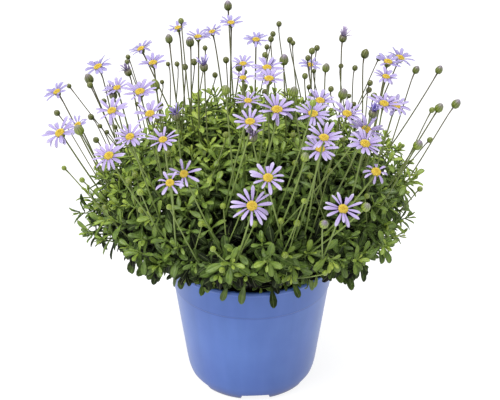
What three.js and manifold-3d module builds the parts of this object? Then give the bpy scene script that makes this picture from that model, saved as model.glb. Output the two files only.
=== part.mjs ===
// Potted shrub aster: a dome of leafy shoots in a nursery pot, with daisies and buds on long stalks.
// Millimetres, +Z up. The origin is the centre of the pot's foot, and the viewer stands on -Y.
import * as THREE from 'three';
import { mergeVertices } from 'three/addons/utils/BufferGeometryUtils.js';
import Module from 'manifold-3d';

const wasm = await Module();
wasm.setup();

// Pot: one moulded shell with a rolled lip, a collar, a tapered wall and a notched foot ring
const potHeight = 108;
const lipRadius = 65;
const lipHeight = 3.6;
const collarTopRadius = 62.7;
const collarFootRadius = 61.3;
const collarFootHeight = 84;
const collarStep = 0.7;
const heelRadius = 51.6;
const heelHeight = 13.5;
const footRadius = 44;
const footRingWidth = 4.5;
const footRingHeight = 3;
const wallThickness = 1.6;
const floorThickness = 2;
const notchCount = 6;
const notchWidth = 27;
const notchSlant = 3;
const notchTurn = 3.6;
const notchCut = 20;
const notchRise = 0.6;
const drainHoleRadius = 4;
const drainHoleCircle = 28;
const potSides = 32;

// Soil: dark peat, with one plain hole for the foot of each clump
const soilTop = 96;
const soilHoleDepth = 16;
const footStemRadius = 2.8;
const footStemCircle = 46;
const seatGap = 0.3;

// Foliage: six clumps share one dome, and each keeps to its own share of the ground plan
const domeRadius = 110;
const domeRise = 78;
const domeWaist = 145;
const coreShare = 0.68;
const coreUnderside = 104;
const coreHem = [[50, coreUnderside], [60, 111], [72, 116]];
const coreRelief = 6;
const coreSides = 20;
const outerClumps = 5;
const centreClumpReach = 40;
const clumpGap = 1.2;
const tipCount = 78;
const lowestTip = -0.3;
const tipCrowding = 0.72;
const skirtCount = 12;
const skirtReach = 80;
const skirtStagger = 8;

// The lower edge of the foliage hangs to the lip beside the pot and rises outward. It stays higher,
// and rises more steeply, in front, where the pot shows below it
const sideEdge = { height: 100, slope: 0.4 };
const frontEdge = { height: 109, slope: 0.68 };
const edgeRoom = 8;

const rootLength = 40;
const shootHubRadius = 2;
const shootHubCrown = 1.6;
const potClearance = 0.6;
const leafLength = 20;
const leafHalfWidth = 3.7;
const leafThickness = 0.9;

// Flower heads and stalks
const stalkRadius = 0.75;
const rayCount = 9;
const rayLength = 9;
const rayHalfWidth = 1.35;
const rayThickness = 0.7;
const buttonRadius = 3.3;
const buttonHeight = 1.9;
const cupDepth = 4.2;
const smallBudRadius = 2.2;
const largeBudRadius = 3.2;
const bloomClearance = 0.8;
const roomDepth = 4.6;
const roomBelow = 1.3;
const stalkClearance = 0.5;
const kneeDrop = 20;

// Low heads look outward and high heads look up: height in millimetres, tilt in degrees
const lowHead = { height: 212, tilt: 47 };
const highHead = { height: 282, tilt: 14 };
// The heads turn away from a point this far behind the axis, so that they all lean to the light
const headCentreBehind = 110;

// Where the heads show from the front: column and row in a frame 500 wide and 400 high, seen from
// 477 mm up and 671 mm in front of the axis with the eye dipped 25.9 degrees, and how far behind
// the pot's axis each head stands, in millimetres
const eye = { distance: 671, height: 477, focal: 988, axisColumn: 251.6, middleRow: 200 };
const eyeDip = THREE.MathUtils.degToRad(25.9);
const openHeads = {
  bloom_01: { column: 57, row: 92, behind: 2 },
  bloom_02: { column: 60, row: 133, behind: -55 },
  bloom_03: { column: 78, row: 125, behind: -22 },
  bloom_04: { column: 98, row: 67, behind: 30 },
  bloom_05: { column: 117, row: 88, behind: -42 },
  bloom_06: { column: 140, row: 92, behind: -62 },
  bloom_07: { column: 112, row: 111, behind: -75 },
  bloom_08: { column: 130, row: 137, behind: -98 },
  bloom_09: { column: 109, row: 156, behind: -116 },
  bloom_10: { column: 150, row: 114, behind: -78 },
  bloom_11: { column: 163, row: 140, behind: -115 },
  bloom_12: { column: 141, row: 49, behind: 68 },
  bloom_13: { column: 153, row: 63, behind: -25 },
  bloom_14: { column: 178, row: 28, behind: 65 },
  bloom_15: { column: 198, row: 37, behind: -15 },
  bloom_16: { column: 212, row: 32, behind: 85 },
  bloom_17: { column: 231, row: 23, behind: 20 },
  bloom_18: { column: 243, row: 64, behind: -25 },
  bloom_19: { column: 243, row: 78, behind: -65 },
  bloom_20: { column: 184, row: 174, behind: -110 },
  bloom_21: { column: 170, row: 183, behind: -140 },
  bloom_22: { column: 248, row: 101, behind: -94 },
  bloom_23: { column: 250, row: 122, behind: -119 },
  bloom_24: { column: 256, row: 40, behind: 15 },
  bloom_25: { column: 267, row: 68, behind: -44 },
  bloom_26: { column: 269, row: 79, behind: -82 },
  bloom_27: { column: 310, row: 65, behind: 20 },
  bloom_28: { column: 388, row: 62, behind: -10 },
  bloom_29: { column: 400, row: 58, behind: 32 },
  bloom_30: { column: 386, row: 77, behind: -45 },
  bloom_31: { column: 384, row: 104, behind: -78 },
  bloom_32: { column: 396, row: 106, behind: -50 },
  bloom_33: { column: 277, row: 110, behind: -105 },
  bloom_34: { column: 320, row: 101, behind: -64 },
  bloom_35: { column: 313, row: 114, behind: -90 },
  bloom_36: { column: 347, row: 114, behind: -90 },
  bloom_37: { column: 324, row: 138, behind: -130 },
  bloom_38: { column: 320, row: 149, behind: -104 },
  bloom_39: { column: 366, row: 130, behind: -84 },
  bloom_40: { column: 365, row: 144, behind: -108 },
  bloom_41: { column: 376, row: 172, behind: -118 },
  bloom_42: { column: 268, row: 178, behind: -138 },
  bloom_43: { column: 252, row: 206, behind: -145 },
  bloom_44: { column: 343, row: 209, behind: -138 },
};
const budHeads = {
  bud_01: { column: 228, row: 6, behind: 42, large: true },
  bud_02: { column: 169, row: 39, behind: -10, large: true },
  bud_03: { column: 190, row: 42, behind: 5, large: true },
  bud_04: { column: 205, row: 48, behind: 35 },
  bud_05: { column: 128, row: 57, behind: 45 },
  bud_06: { column: 89, row: 79, behind: 0, large: true },
  bud_07: { column: 69, row: 86, behind: 30 },
  bud_08: { column: 57, row: 113, behind: 12 },
  bud_09: { column: 79, row: 130, behind: -62, large: true },
  bud_10: { column: 64, row: 168, behind: -70 },
  bud_11: { column: 82, row: 180, behind: -85 },
  bud_12: { column: 155, row: 85, behind: -40, large: true },
  bud_13: { column: 204, row: 67, behind: -30, large: true },
  bud_14: { column: 226, row: 90, behind: -80, large: true },
  bud_15: { column: 140, row: 192, behind: -130, large: true },
  bud_16: { column: 279, row: 24, behind: 60 },
  bud_17: { column: 273, row: 34, behind: 75 },
  bud_18: { column: 293, row: 43, behind: 35 },
  bud_19: { column: 284, row: 60, behind: -20, large: true },
  bud_20: { column: 294, row: 92, behind: -72, large: true },
  bud_21: { column: 317, row: 48, behind: 45 },
  bud_22: { column: 326, row: 68, behind: -30, large: true },
  bud_23: { column: 343, row: 38, behind: 20, large: true },
  bud_24: { column: 365, row: 54, behind: 15, large: true },
  bud_25: { column: 416, row: 70, behind: 20, large: true },
  bud_26: { column: 439, row: 70, behind: 12, large: true },
  bud_27: { column: 456, row: 104, behind: 2, large: true },
  bud_28: { column: 439, row: 108, behind: -30, large: true },
  bud_29: { column: 418, row: 145, behind: -70, large: true },
  bud_30: { column: 430, row: 140, behind: -15 },
  bud_31: { column: 374, row: 96, behind: -30 },
  bud_32: { column: 313, row: 103, behind: -122, large: true },
  bud_33: { column: 305, row: 157, behind: -130, large: true },
  bud_34: { column: 420, row: 189, behind: -45 },
  bud_35: { column: 304, row: 201, behind: -140 },
  bud_36: { column: 324, row: 224, behind: -140, large: true },
  bud_37: { column: 366, row: 207, behind: -125, large: true },
  bud_38: { column: 213, row: 249, behind: -138 },
  bud_39: { column: 169, row: 207, behind: -135 },
};

// Heads that the foliage hides from the front: two fans across the back, one open and one in bud,
// which stand lower towards their ends. The stagger is how much lower each second head stands
const backBlooms = { count: 8, reach: 142, height: 176, stagger: 14 };
const backBuds = { count: 7, reach: 120, height: 187, stagger: 8 };
const backHalfAngle = 50;
const backDrop = 30;

// Repeatable draws from 0 to 1
function drawer(seed) {
  let state = seed;
  return () => {
    state = (state + 0x6D2B79F5) | 0;
    let mixed = Math.imul(state ^ (state >>> 15), 1 | state);
    mixed = (mixed + Math.imul(mixed ^ (mixed >>> 7), 61 | mixed)) ^ mixed;
    return ((mixed ^ (mixed >>> 14)) >>> 0) / 4294967296;
  };
}

// A closed geometry as a solid that can be joined and cut, and back
function solidOf(geometry) {
  const bare = geometry.clone();
  bare.deleteAttribute('normal');
  bare.deleteAttribute('uv');
  const merged = mergeVertices(bare, 1e-4);
  const vertProperties = new Float32Array(merged.attributes.position.array);
  const triVerts = new Uint32Array(merged.index.array);
  return new wasm.Manifold(new wasm.Mesh({ numProp: 3, vertProperties, triVerts }));
}

function geometryOf(solid) {
  const mesh = solid.getMesh();
  const geometry = new THREE.BufferGeometry();
  geometry.setAttribute('position', new THREE.BufferAttribute(mesh.vertProperties.slice(), 3));
  geometry.setIndex(new THREE.BufferAttribute(mesh.triVerts.slice(), 1));
  geometry.computeVertexNormals();
  return geometry;
}

function joined(solids) {
  return solids.reduce((whole, piece) => whole.add(piece));
}

function touches(solid, others) {
  return others.some((other) => !solid.intersect(other).isEmpty());
}

function closedGeometry(points, triangles) {
  const geometry = new THREE.BufferGeometry();
  geometry.setFromPoints(points);
  geometry.setIndex(triangles);
  return geometry;
}

// A lathe about Z from [radius, height] points, going up the outside
function turned(outline, sides) {
  const points = outline.map(([radius, height]) => new THREE.Vector2(radius, height));
  return new THREE.LatheGeometry(points, sides).rotateX(Math.PI / 2);
}

// A closed rod through the points, with a width at each; a last width of 0 ends it in a point
function rod(points, radii, sides) {
  const rings = [];
  const triangles = [];
  let side = new THREE.Vector3(1, 0, 0);
  points.forEach((point, i) => {
    const before = points[Math.max(i - 1, 0)];
    const after = points[Math.min(i + 1, points.length - 1)];
    const along = after.clone().sub(before).normalize();
    side = side.addScaledVector(along, -side.dot(along)).normalize();
    const across = along.clone().cross(side);
    for (let k = 0; k < (radii[i] > 0 ? sides : 1); k += 1) {
      const angle = (2 * Math.PI * k) / sides;
      rings.push(point.clone()
        .addScaledVector(side, radii[i] * Math.cos(angle))
        .addScaledVector(across, radii[i] * Math.sin(angle)));
    }
  });
  const last = points.length - 1;
  for (let i = 0; i < last; i += 1) {
    const low = i * sides;
    const high = low + sides;
    for (let k = 0; k < sides; k += 1) {
      const next = (k + 1) % sides;
      if (i === last - 1 && radii[last] === 0) {
        triangles.push(low + k, low + next, high);
      } else {
        triangles.push(low + k, low + next, high + next, low + k, high + next, high + k);
      }
    }
  }
  for (let k = 1; k < sides - 1; k += 1) {
    triangles.push(0, k + 1, k);
    if (radii[last] > 0) {
      triangles.push(last * sides, last * sides + k, last * sides + k + 1);
    }
  }
  return closedGeometry(rings, triangles);
}

// A frame of three directions whose third is the given axis
function frameAbout(axis, twist) {
  const start = Math.abs(axis.z) < 0.9 ? new THREE.Vector3(0, 0, 1) : new THREE.Vector3(0, 1, 0);
  const side = start.cross(axis).normalize().applyAxisAngle(axis, twist);
  return new THREE.Matrix4().makeBasis(side, axis.clone().cross(side), axis);
}

// One blade of a star, in the star's own frame: its raised midrib, its two shoulders and its tip,
// which a blunt blade does without
function bladePoints(angle, base, { length, halfWidth, thickness, lift, droop, blunt }) {
  const out = new THREE.Vector3(Math.cos(angle), Math.sin(angle), 0);
  const across = new THREE.Vector3(-out.y, out.x, 0);
  const at = (share, sideways) => {
    const reach = base + share * length * Math.cos(lift);
    const rise = share * length * Math.sin(lift) - droop * share * share * length;
    return out.clone().multiplyScalar(reach).addScaledVector(across, sideways)
      .add(new THREE.Vector3(0, 0, rise));
  };
  const ridge = at(0.5, 0).add(new THREE.Vector3(0, 0, thickness));
  const shoulder = blunt ? 1 : 0.66;
  const corners = [ridge, at(shoulder, -halfWidth), at(shoulder, halfWidth)];
  return blunt ? corners : [...corners, at(1, 0)];
}

// Blades round a hub, as one closed body: the hub rises to a crown point, on a bloom by way of its
// button's rim, and its underside runs down to one root point, which on a shoot is sunk in the core
function star({ blades, base, button, crown, root }) {
  const count = blades.length;
  const points = [];
  const triangles = [];
  const hubRing = (radius, height) => {
    const first = points.length;
    for (let i = 0; i < count; i += 1) {
      const angle = (2 * Math.PI * (i - 0.5)) / count;
      points.push(new THREE.Vector3(radius * Math.cos(angle), radius * Math.sin(angle), height));
    }
    return first;
  };
  const hub = hubRing(base, 0);
  const rim = button ? hubRing(base * 0.72, button) : 0;
  const crownPoint = points.push(new THREE.Vector3(0, 0, crown)) - 1;
  const rootPoint = points.push(root) - 1;
  blades.forEach((blade, i) => {
    const next = (i + 1) % count;
    const [ridge, left, right, tip] = [0, 1, 2, 3].map((k) => points.length + k);
    points.push(...bladePoints((2 * Math.PI * i) / count, base, blade));
    triangles.push(ridge, right, hub + next, ridge, hub + i, left);
    triangles.push(hub + i, hub + next, right, hub + i, right, left);
    triangles.push(rootPoint, hub + next, hub + i);
    if (blade.blunt) {
      triangles.push(ridge, left, right);
    } else {
      triangles.push(ridge, left, tip, ridge, tip, right, left, right, tip);
    }
    if (button) {
      triangles.push(ridge, rim + i, hub + i, ridge, hub + next, rim + next);
      triangles.push(ridge, rim + next, rim + i, crownPoint, rim + i, rim + next);
    } else {
      triangles.push(ridge, crownPoint, hub + i, ridge, hub + next, crownPoint);
    }
  });
  return closedGeometry(points, triangles);
}

// The pot, from its lip down to the foot ring. Each notch runs through the ring and rises outward
// through the heel.
const floorUnderside = footRingHeight + 0.2;
const floorTop = floorUnderside + floorThickness;
const collarTop = potHeight - lipHeight;
const wallTopRadius = collarFootRadius - collarStep;

function potSolid() {
  const outline = [
    [0, floorUnderside],
    [footRadius - footRingWidth, floorUnderside],
    [footRadius - footRingWidth, 0],
    [footRadius, 0],
    [footRadius + 3, 1.8],
    [heelRadius - 1.8, heelHeight / 2],
    [heelRadius, heelHeight],
    [wallTopRadius, collarFootHeight],
    [collarFootRadius, collarFootHeight + 0.6],
    [collarTopRadius, collarTop],
    [lipRadius - 0.4, collarTop + 0.5],
    [lipRadius, collarTop + lipHeight / 2],
    [lipRadius - 0.8, potHeight],
    [collarTopRadius - 0.6, potHeight],
    [wallTopRadius - wallThickness, collarFootHeight],
    [heelRadius - wallThickness, heelHeight],
    [footRadius, floorTop],
    [0, floorTop],
  ];
  const notchHalf = notchWidth / 2;
  const notchEnd = footRadius + notchCut / 2;
  const notchStart = footRadius - notchCut / 2;
  const notchShape = new THREE.Shape([
    new THREE.Vector2(notchStart, -1),
    new THREE.Vector2(notchEnd, -1),
    new THREE.Vector2(notchEnd, footRingHeight + notchRise * (notchCut / 2 + 1)),
    new THREE.Vector2(footRadius - 1, footRingHeight),
    new THREE.Vector2(notchStart, footRingHeight),
  ]);
  let pot = solidOf(turned(outline, potSides));
  for (let i = 0; i < notchCount; i += 1) {
    const turn = THREE.MathUtils.degToRad(notchTurn + (360 / notchCount) * i);
    const notch = new THREE.ExtrudeGeometry(notchShape, { depth: notchWidth, bevelEnabled: false });
    notch.rotateX(Math.PI / 2).translate(0, notchHalf, 0);
    const corners = notch.getAttribute('position');
    for (let j = 0; j < corners.count; j += 1) {
      if (corners.getZ(j) > 0) {
        corners.setY(j, corners.getY(j) * (1 - notchSlant / notchHalf));
      }
    }
    notch.rotateZ(turn - Math.PI / 2);
    const drain = new THREE.CylinderGeometry(drainHoleRadius, drainHoleRadius, 8, 8);
    drain.rotateX(Math.PI / 2).translate(0, -drainHoleCircle, floorTop).rotateZ(turn);
    pot = pot.subtract(solidOf(notch)).subtract(solidOf(drain));
  }
  return pot;
}

// The ground plan of each clump: half-planes that its points stay behind, as [x, y, reach]
function clumpPlans() {
  const centre = { walls: [], foot: new THREE.Vector2(0, 0) };
  const plans = [centre];
  for (let i = 0; i < outerClumps; i += 1) {
    const middle = (2 * Math.PI * i) / outerClumps - Math.PI / 2;
    const half = Math.PI / outerClumps;
    centre.walls.push([Math.cos(middle), Math.sin(middle), centreClumpReach]);
    plans.push({
      walls: [
        [-Math.cos(middle), -Math.sin(middle), -centreClumpReach],
        [-Math.sin(middle + half), Math.cos(middle + half), 0],
        [Math.sin(middle - half), -Math.cos(middle - half), 0],
      ],
      foot: new THREE.Vector2(Math.cos(middle), Math.sin(middle)).multiplyScalar(footStemCircle),
    });
  }
  return plans;
}

const plans = clumpPlans();

function overWall(point, [x, y, reach], margin) {
  return point.x * x + point.y * y - reach + margin;
}

function within(plan, point, margin) {
  return plan.walls.every((wall) => overWall(point, wall, margin) <= 0);
}

function pushedInside(plan, point, margin) {
  const moved = point.clone();
  for (let pass = 0; pass < 3; pass += 1) {
    plan.walls.forEach((wall) => {
      const over = Math.max(overWall(moved, wall, margin), 0);
      moved.x -= wall[0] * over;
      moved.y -= wall[1] * over;
    });
  }
  return moved;
}

// A point on the dome: its bearing, its lift above the waist, and a scale of the dome's size
function onDome(bearing, lift, scale = 1) {
  const reach = scale * domeRadius * Math.cos(lift);
  return new THREE.Vector3(
    reach * Math.cos(bearing),
    reach * Math.sin(bearing),
    domeWaist + scale * domeRise * Math.sin(lift),
  );
}

function domeNormal(bearing, lift) {
  const flat = Math.cos(lift) / domeRadius;
  return new THREE.Vector3(
    flat * Math.cos(bearing),
    flat * Math.sin(bearing),
    Math.sin(lift) / domeRise,
  ).normalize();
}

// The dome's inner body of crowded leaves, in rows of pointed scales that hang a little, before it
// is cut to the clumps' shares
function coreSolid() {
  const outline = [[0, coreUnderside], ...coreHem];
  const flatRows = outline.length;
  const steps = 6;
  for (let i = 0; i <= steps; i += 1) {
    const point = onDome(0, (Math.PI / 2) * (i / steps), coreShare);
    outline.push([i === steps ? 0 : point.x, point.z]);
  }
  const geometry = turned(outline, coreSides);
  const place = geometry.attributes.position;
  for (let i = 0; i < place.count; i += 1) {
    const row = i % outline.length;
    const column = Math.floor(i / outline.length) % coreSides;
    if (row >= flatRows && row < outline.length - 1) {
      const point = new THREE.Vector3().fromBufferAttribute(place, i);
      const raised = (row + column) % 2 === 1;
      const outward = point.clone().sub(new THREE.Vector3(0, 0, domeWaist)).normalize();
      point.addScaledVector(outward, raised ? coreRelief : -coreRelief / 2);
      place.setXYZ(i, point.x, point.y, point.z - (raised ? coreRelief : 0));
    }
  }
  return solidOf(geometry);
}

function planPrism(plan) {
  const far = 400;
  let prism = solidOf(new THREE.BoxGeometry(far, far, far).translate(0, 0, domeWaist));
  plan.walls.forEach(([x, y, reach]) => {
    const wall = new THREE.BoxGeometry(2 * far, 2 * far, 2 * far);
    wall.translate(far + reach - clumpGap / 2, 0, domeWaist).rotateZ(Math.atan2(y, x));
    prism = prism.subtract(solidOf(wall));
  });
  return prism;
}

// A head's place from where it shows in the front view
function placeOf({ column, row, behind }) {
  const right = (column - eye.axisColumn) / eye.focal;
  const rise = (eye.middleRow - row) / eye.focal;
  const ray = new THREE.Vector3(
    right,
    Math.cos(eyeDip) + rise * Math.sin(eyeDip),
    rise * Math.cos(eyeDip) - Math.sin(eyeDip),
  );
  ray.multiplyScalar((behind + eye.distance) / ray.y);
  return new THREE.Vector3(ray.x, behind, eye.height + ray.z);
}

function facingOf(place, centreBehind) {
  const { clamp, degToRad, mapLinear } = THREE.MathUtils;
  const slope = mapLinear(place.z, lowHead.height, highHead.height, lowHead.tilt, highHead.tilt);
  const tilt = degToRad(clamp(slope, highHead.tilt, lowHead.tilt));
  const out = new THREE.Vector3(place.x, place.y - centreBehind, 0).normalize();
  return out.multiplyScalar(Math.sin(tilt)).setZ(Math.cos(tilt));
}

// A stalk starts inside the core, leaves the foliage at a knee, and runs on straight from there,
// leaning about half as much as its head does
function stalkPath(place, facing, swing) {
  const neck = place.clone().addScaledVector(facing, -cupDepth - 3);
  const height = Math.atan2(neck.z - domeWaist, Math.hypot(neck.x, neck.y));
  const lift = height - THREE.MathUtils.degToRad(kneeDrop) * Math.cos(height);
  const bearing = Math.atan2(neck.y, neck.x) + swing;
  const rough = onDome(bearing, lift, coreShare * 0.9);
  const plan = plans.find((candidate) => within(candidate, rough, 0)) ?? plans[0];
  const root = pushedInside(plan, rough, 4);
  const knee = pushedInside(plan, onDome(bearing, lift), 2);
  return { plan, points: [root, knee, neck] };
}

// A bloom: rays round a button, on the point that faces outward
function bloomGeometry(head, draw) {
  const blades = Array.from({ length: rayCount }, () => ({
    length: rayLength * (0.94 + 0.12 * draw()),
    halfWidth: rayHalfWidth,
    thickness: rayThickness,
    lift: THREE.MathUtils.degToRad(4 + 16 * draw()),
    droop: 0.14,
    blunt: true,
  }));
  const flower = star({
    blades,
    base: buttonRadius,
    button: buttonHeight * 0.75,
    crown: buttonHeight,
    root: new THREE.Vector3(0, 0, -1.2),
  });
  flower.applyMatrix4(frameAbout(head.facing, 2 * Math.PI * draw()));
  return flower.translate(head.place.x, head.place.y, head.place.z);
}

// The stalk of an open head ends in the green cup under the bloom, and the stalk of a bud ends
// in the bud itself
function stalkSolid(head, path, extra) {
  const along = (depth) => head.place.clone().addScaledVector(head.facing, -depth);
  const stalk = stalkRadius + extra;
  if (head.open) {
    const points = [...path.points, along(3.6), along(1.6)];
    return solidOf(rod(points, [stalk * 1.2, stalk, stalk, 2.3 + extra, 2.9 + extra], 3));
  }
  const [root, knee] = path.points;
  const round = (head.large ? largeBudRadius : smallBudRadius) + extra;
  const points = [root, knee, along(round + 1), along(round * 0.5), along(-round * 0.4),
    along(-round * 1.25)];
  return solidOf(rod(points, [stalk * 1.2, stalk, stalk, round, round * 0.85, 0], 4));
}

// Room that the clumps leave round each bloom
function bloomRoom(head) {
  const reach = buttonRadius + rayLength + bloomClearance;
  const room = new THREE.CylinderGeometry(reach, 0.7 * reach, roomDepth, 10);
  room.rotateX(Math.PI / 2).translate(0, 0, roomDepth / 2 - roomBelow);
  room.applyMatrix4(frameAbout(head.facing, 0));
  return solidOf(room.translate(head.place.x, head.place.y, head.place.z));
}

function fan({ count, reach, height, stagger }, draw) {
  return Array.from({ length: count }, (_, i) => {
    const aside = (2 * i + 1) / count - 1;
    const bearing = Math.PI / 2 - THREE.MathUtils.degToRad(backHalfAngle) * aside;
    const out = reach * (0.97 + 0.06 * draw());
    const rise = height - backDrop * aside * aside - (i % 2 ? stagger : 0);
    return new THREE.Vector3(out * Math.cos(bearing), out * Math.sin(bearing), rise);
  });
}

function allHeads() {
  const draw = drawer(11);
  const heads = [];
  const add = (name, place, open, large, centreBehind = headCentreBehind) => {
    heads.push({ name, place, facing: facingOf(place, centreBehind), open, large });
  };
  Object.entries(openHeads).forEach(([name, seen]) => add(name, placeOf(seen), true, false));
  fan(backBlooms, draw).forEach((place, i) => {
    add(`bloom_${Object.keys(openHeads).length + 1 + i}`, place, true, false, 0);
  });
  Object.entries(budHeads).forEach(([name, seen]) => {
    add(name, placeOf(seen), false, Boolean(seen.large));
  });
  fan(backBuds, draw).forEach((place, i) => {
    add(`bud_back_${i + 1}`, place, false, i % 3 === 0, 0);
  });
  return heads;
}

// Each stalk takes the first swing of its root that passes every bloom and every other clump's
// stalks
function routedStalks(heads, rooms) {
  const swings = [0, 0.08, -0.08, 0.16, -0.16, 0.24, -0.24, 0.34, -0.34, 0.45, -0.45];
  const routed = [];
  heads.forEach((head) => {
    const others = heads.filter((other) => other.open && other !== head);
    const near = others.filter((other) => other.place.distanceTo(head.place) < 140);
    const nearRooms = near.map((other) => rooms.get(other));
    const paths = swings.map((swing) => stalkPath(head.place, head.facing, swing));
    const choice = paths.find((path) => {
      const wide = stalkSolid(head, path, stalkClearance);
      const foreign = routed.filter((done) => done.path.plan !== path.plan);
      return !touches(wide, nearRooms) && !touches(wide, foreign.map((done) => done.wide));
    });
    if (!choice) {
      throw new Error(`no free way up for ${head.name}`);
    }
    routed.push({ head, path: choice, wide: stalkSolid(head, choice, stalkClearance) });
  });
  return routed;
}

// A shoot tip: a rosette of leaves on a root that runs down into the clump's inner body
function rosette(plan, place, axis, length, turn, draw) {
  const count = draw() < 0.5 ? 5 : 6;
  const frame = frameAbout(axis, turn);
  const leafAt = (lift) => ({
    length: length * (0.85 + 0.3 * draw()),
    halfWidth: leafHalfWidth,
    thickness: leafThickness,
    lift: THREE.MathUtils.degToRad(lift),
    droop: 0.22,
  });
  const blades = Array.from({ length: count }, (_, i) => {
    const firstLift = (i % 2 ? 16 : 40) + 8 * draw();
    for (let lift = firstLift; lift < 84; lift += 9) {
      const blade = leafAt(lift);
      const inside = bladePoints((2 * Math.PI * i) / count, shootHubRadius, blade)
        .every((point) => within(plan, point.applyMatrix4(frame).add(place), clumpGap / 2));
      if (inside) {
        return blade;
      }
    }
    return leafAt(84);
  });
  const root = pushedInside(plan, place.clone().addScaledVector(axis, -rootLength), 3);
  root.sub(place).applyMatrix4(frame.clone().invert());
  const leaves = star({ blades, base: shootHubRadius, crown: shootHubCrown, root });
  leaves.applyMatrix4(frame);
  return leaves.translate(place.x, place.y, place.z);
}

// How much a place lies in front, from 0 at the sides and behind to 1
function frontness(place) {
  return Math.max(-place.y / Math.hypot(place.x, place.y), 0) ** 2;
}

// The lowest a shoot tip may stand at its place on the ground plan
function lowerEdge(place) {
  const { lerp } = THREE.MathUtils;
  const front = frontness(place);
  const slope = lerp(sideEdge.slope, frontEdge.slope, front);
  const overhang = Math.hypot(place.x, place.y) - lipRadius;
  return lerp(sideEdge.height, frontEdge.height, front) + slope * overhang + edgeRoom;
}

// Shoot tips stand over the dome, a little closer towards its flat top, and a skirt of them hangs
// round its lower edge
function shootTips() {
  const golden = Math.PI * (3 - Math.sqrt(5));
  const tips = [];
  for (let i = 0; i < tipCount; i += 1) {
    const share = ((i + 0.5) / tipCount) ** tipCrowding;
    const lift = Math.asin(lowestTip + (1 - lowestTip) * share);
    const place = onDome(golden * i, lift);
    place.z = Math.max(place.z, lowerEdge(place));
    tips.push({ place, outward: domeNormal(golden * i, Math.max(lift, 0)) });
  }
  for (let i = 0; i < skirtCount; i += 1) {
    const bearing = (2 * Math.PI * (i + 0.5)) / skirtCount - Math.PI / 2;
    const out = new THREE.Vector3(Math.cos(bearing), Math.sin(bearing), 0);
    const place = out.clone().multiplyScalar(skirtReach + (i % 2 ? skirtStagger : -skirtStagger));
    place.z = lowerEdge(place);
    tips.push({ place, outward: out.setZ(0.4 * frontness(place) - 0.4).normalize() });
  }
  return tips;
}

// Each rosette takes the first turn that is clear of the blooms and the other clumps' stalks and,
// if it can, of its own clump's stalks and leaves, and its root has to reach the clump's core
function clumpRosettes(plan, core, ownStalks, keepClear) {
  const draw = drawer(43 + plans.indexOf(plan));
  const solids = [];
  shootTips().filter(({ place }) => within(plan, place, 0)).forEach(({ place, outward }) => {
    const moved = pushedInside(plan, place, 6);
    const turns = Array.from({ length: 7 }, (_, turn) => {
      const length = leafLength * (1 - 0.06 * turn);
      return solidOf(rosette(plan, moved, outward, length, 0.5 * turn + draw(), draw));
    });
    const rooted = turns.filter((solid) => touches(solid, [core]) && !touches(solid, keepClear));
    const free = rooted.filter((solid) => !touches(solid, ownStalks));
    const best = free.find((solid) => !touches(solid, solids)) ?? free[0] ?? rooted[0];
    if (best) {
      solids.push(best);
    }
  });
  return solids;
}

function footStem(plan) {
  const { x, y } = plan.foot;
  const bottom = soilTop - soilHoleDepth + seatGap;
  const points = [bottom, soilTop, coreUnderside + 12].map((z) => new THREE.Vector3(x, y, z));
  return solidOf(rod(points, [footStemRadius, footStemRadius, footStemRadius * 1.3], 6));
}

function soilSolid() {
  const gap = wallThickness + seatGap;
  const outline = [
    [0, floorTop + seatGap],
    [footRadius - 1, floorTop + seatGap],
    [heelRadius - gap, heelHeight + 1],
    [wallTopRadius - gap, collarFootHeight],
    [wallTopRadius - gap, soilTop],
    [0, soilTop],
  ];
  let soil = solidOf(turned(outline, potSides));
  plans.forEach(({ foot }) => {
    const hole = new THREE.CylinderGeometry(
      footStemRadius + 2 * seatGap,
      footStemRadius + 2 * seatGap,
      2 * soilHoleDepth,
      8,
    );
    hole.rotateX(Math.PI / 2).translate(foot.x, foot.y, soilTop);
    soil = soil.subtract(solidOf(hole));
  });
  return soil;
}

const potMaterial = { color: 0x6a82c4, roughness: 0.42, metalness: 0 };
const soilMaterial = { color: 0x1d1712, roughness: 0.95, metalness: 0 };
const leafMaterial = { color: 0x5d7f2c, roughness: 0.55, metalness: 0 };
const rayMaterial = { color: 0xb7aae4, roughness: 0.6, metalness: 0 };

function named(name, geometry, look) {
  const mesh = new THREE.Mesh(geometry, new THREE.MeshStandardMaterial(look));
  mesh.name = name;
  return mesh;
}

const plant = new THREE.Group();
const pot = potSolid();
plant.add(named('pot', geometryOf(pot), potMaterial));
plant.add(named('soil', geometryOf(soilSolid()), soilMaterial));

const heads = allHeads();
const rooms = new Map(heads.filter((head) => head.open).map((head) => [head, bloomRoom(head)]));
const stalks = routedStalks(heads, rooms);
const potRoom = solidOf(turned([
  [0, 0],
  [lipRadius + 1, 60],
  [lipRadius + 1, potHeight + potClearance],
  [0, potHeight + potClearance],
], 24));
const core = coreSolid();

plans.forEach((plan, i) => {
  const own = stalks.filter((stalk) => stalk.path.plan === plan);
  const foreign = stalks.filter((stalk) => stalk.path.plan !== plan).map((stalk) => stalk.wide);
  const keepClear = [potRoom, ...rooms.values(), ...foreign];
  const body = core.intersect(planPrism(plan));
  const clump = joined([
    body,
    footStem(plan),
    ...clumpRosettes(plan, body, own.map((stalk) => stalk.wide), keepClear),
    ...own.map(({ head, path }) => stalkSolid(head, path, 0)),
  ]);
  plant.add(named(i === 0 ? 'clump_centre' : `clump_${i}`, geometryOf(clump), leafMaterial));
});

heads.filter((head) => head.open).forEach((head, i) => {
  plant.add(named(head.name, bloomGeometry(head, drawer(101 + i)), rayMaterial));
});

export default plant;
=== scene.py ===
import math

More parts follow.
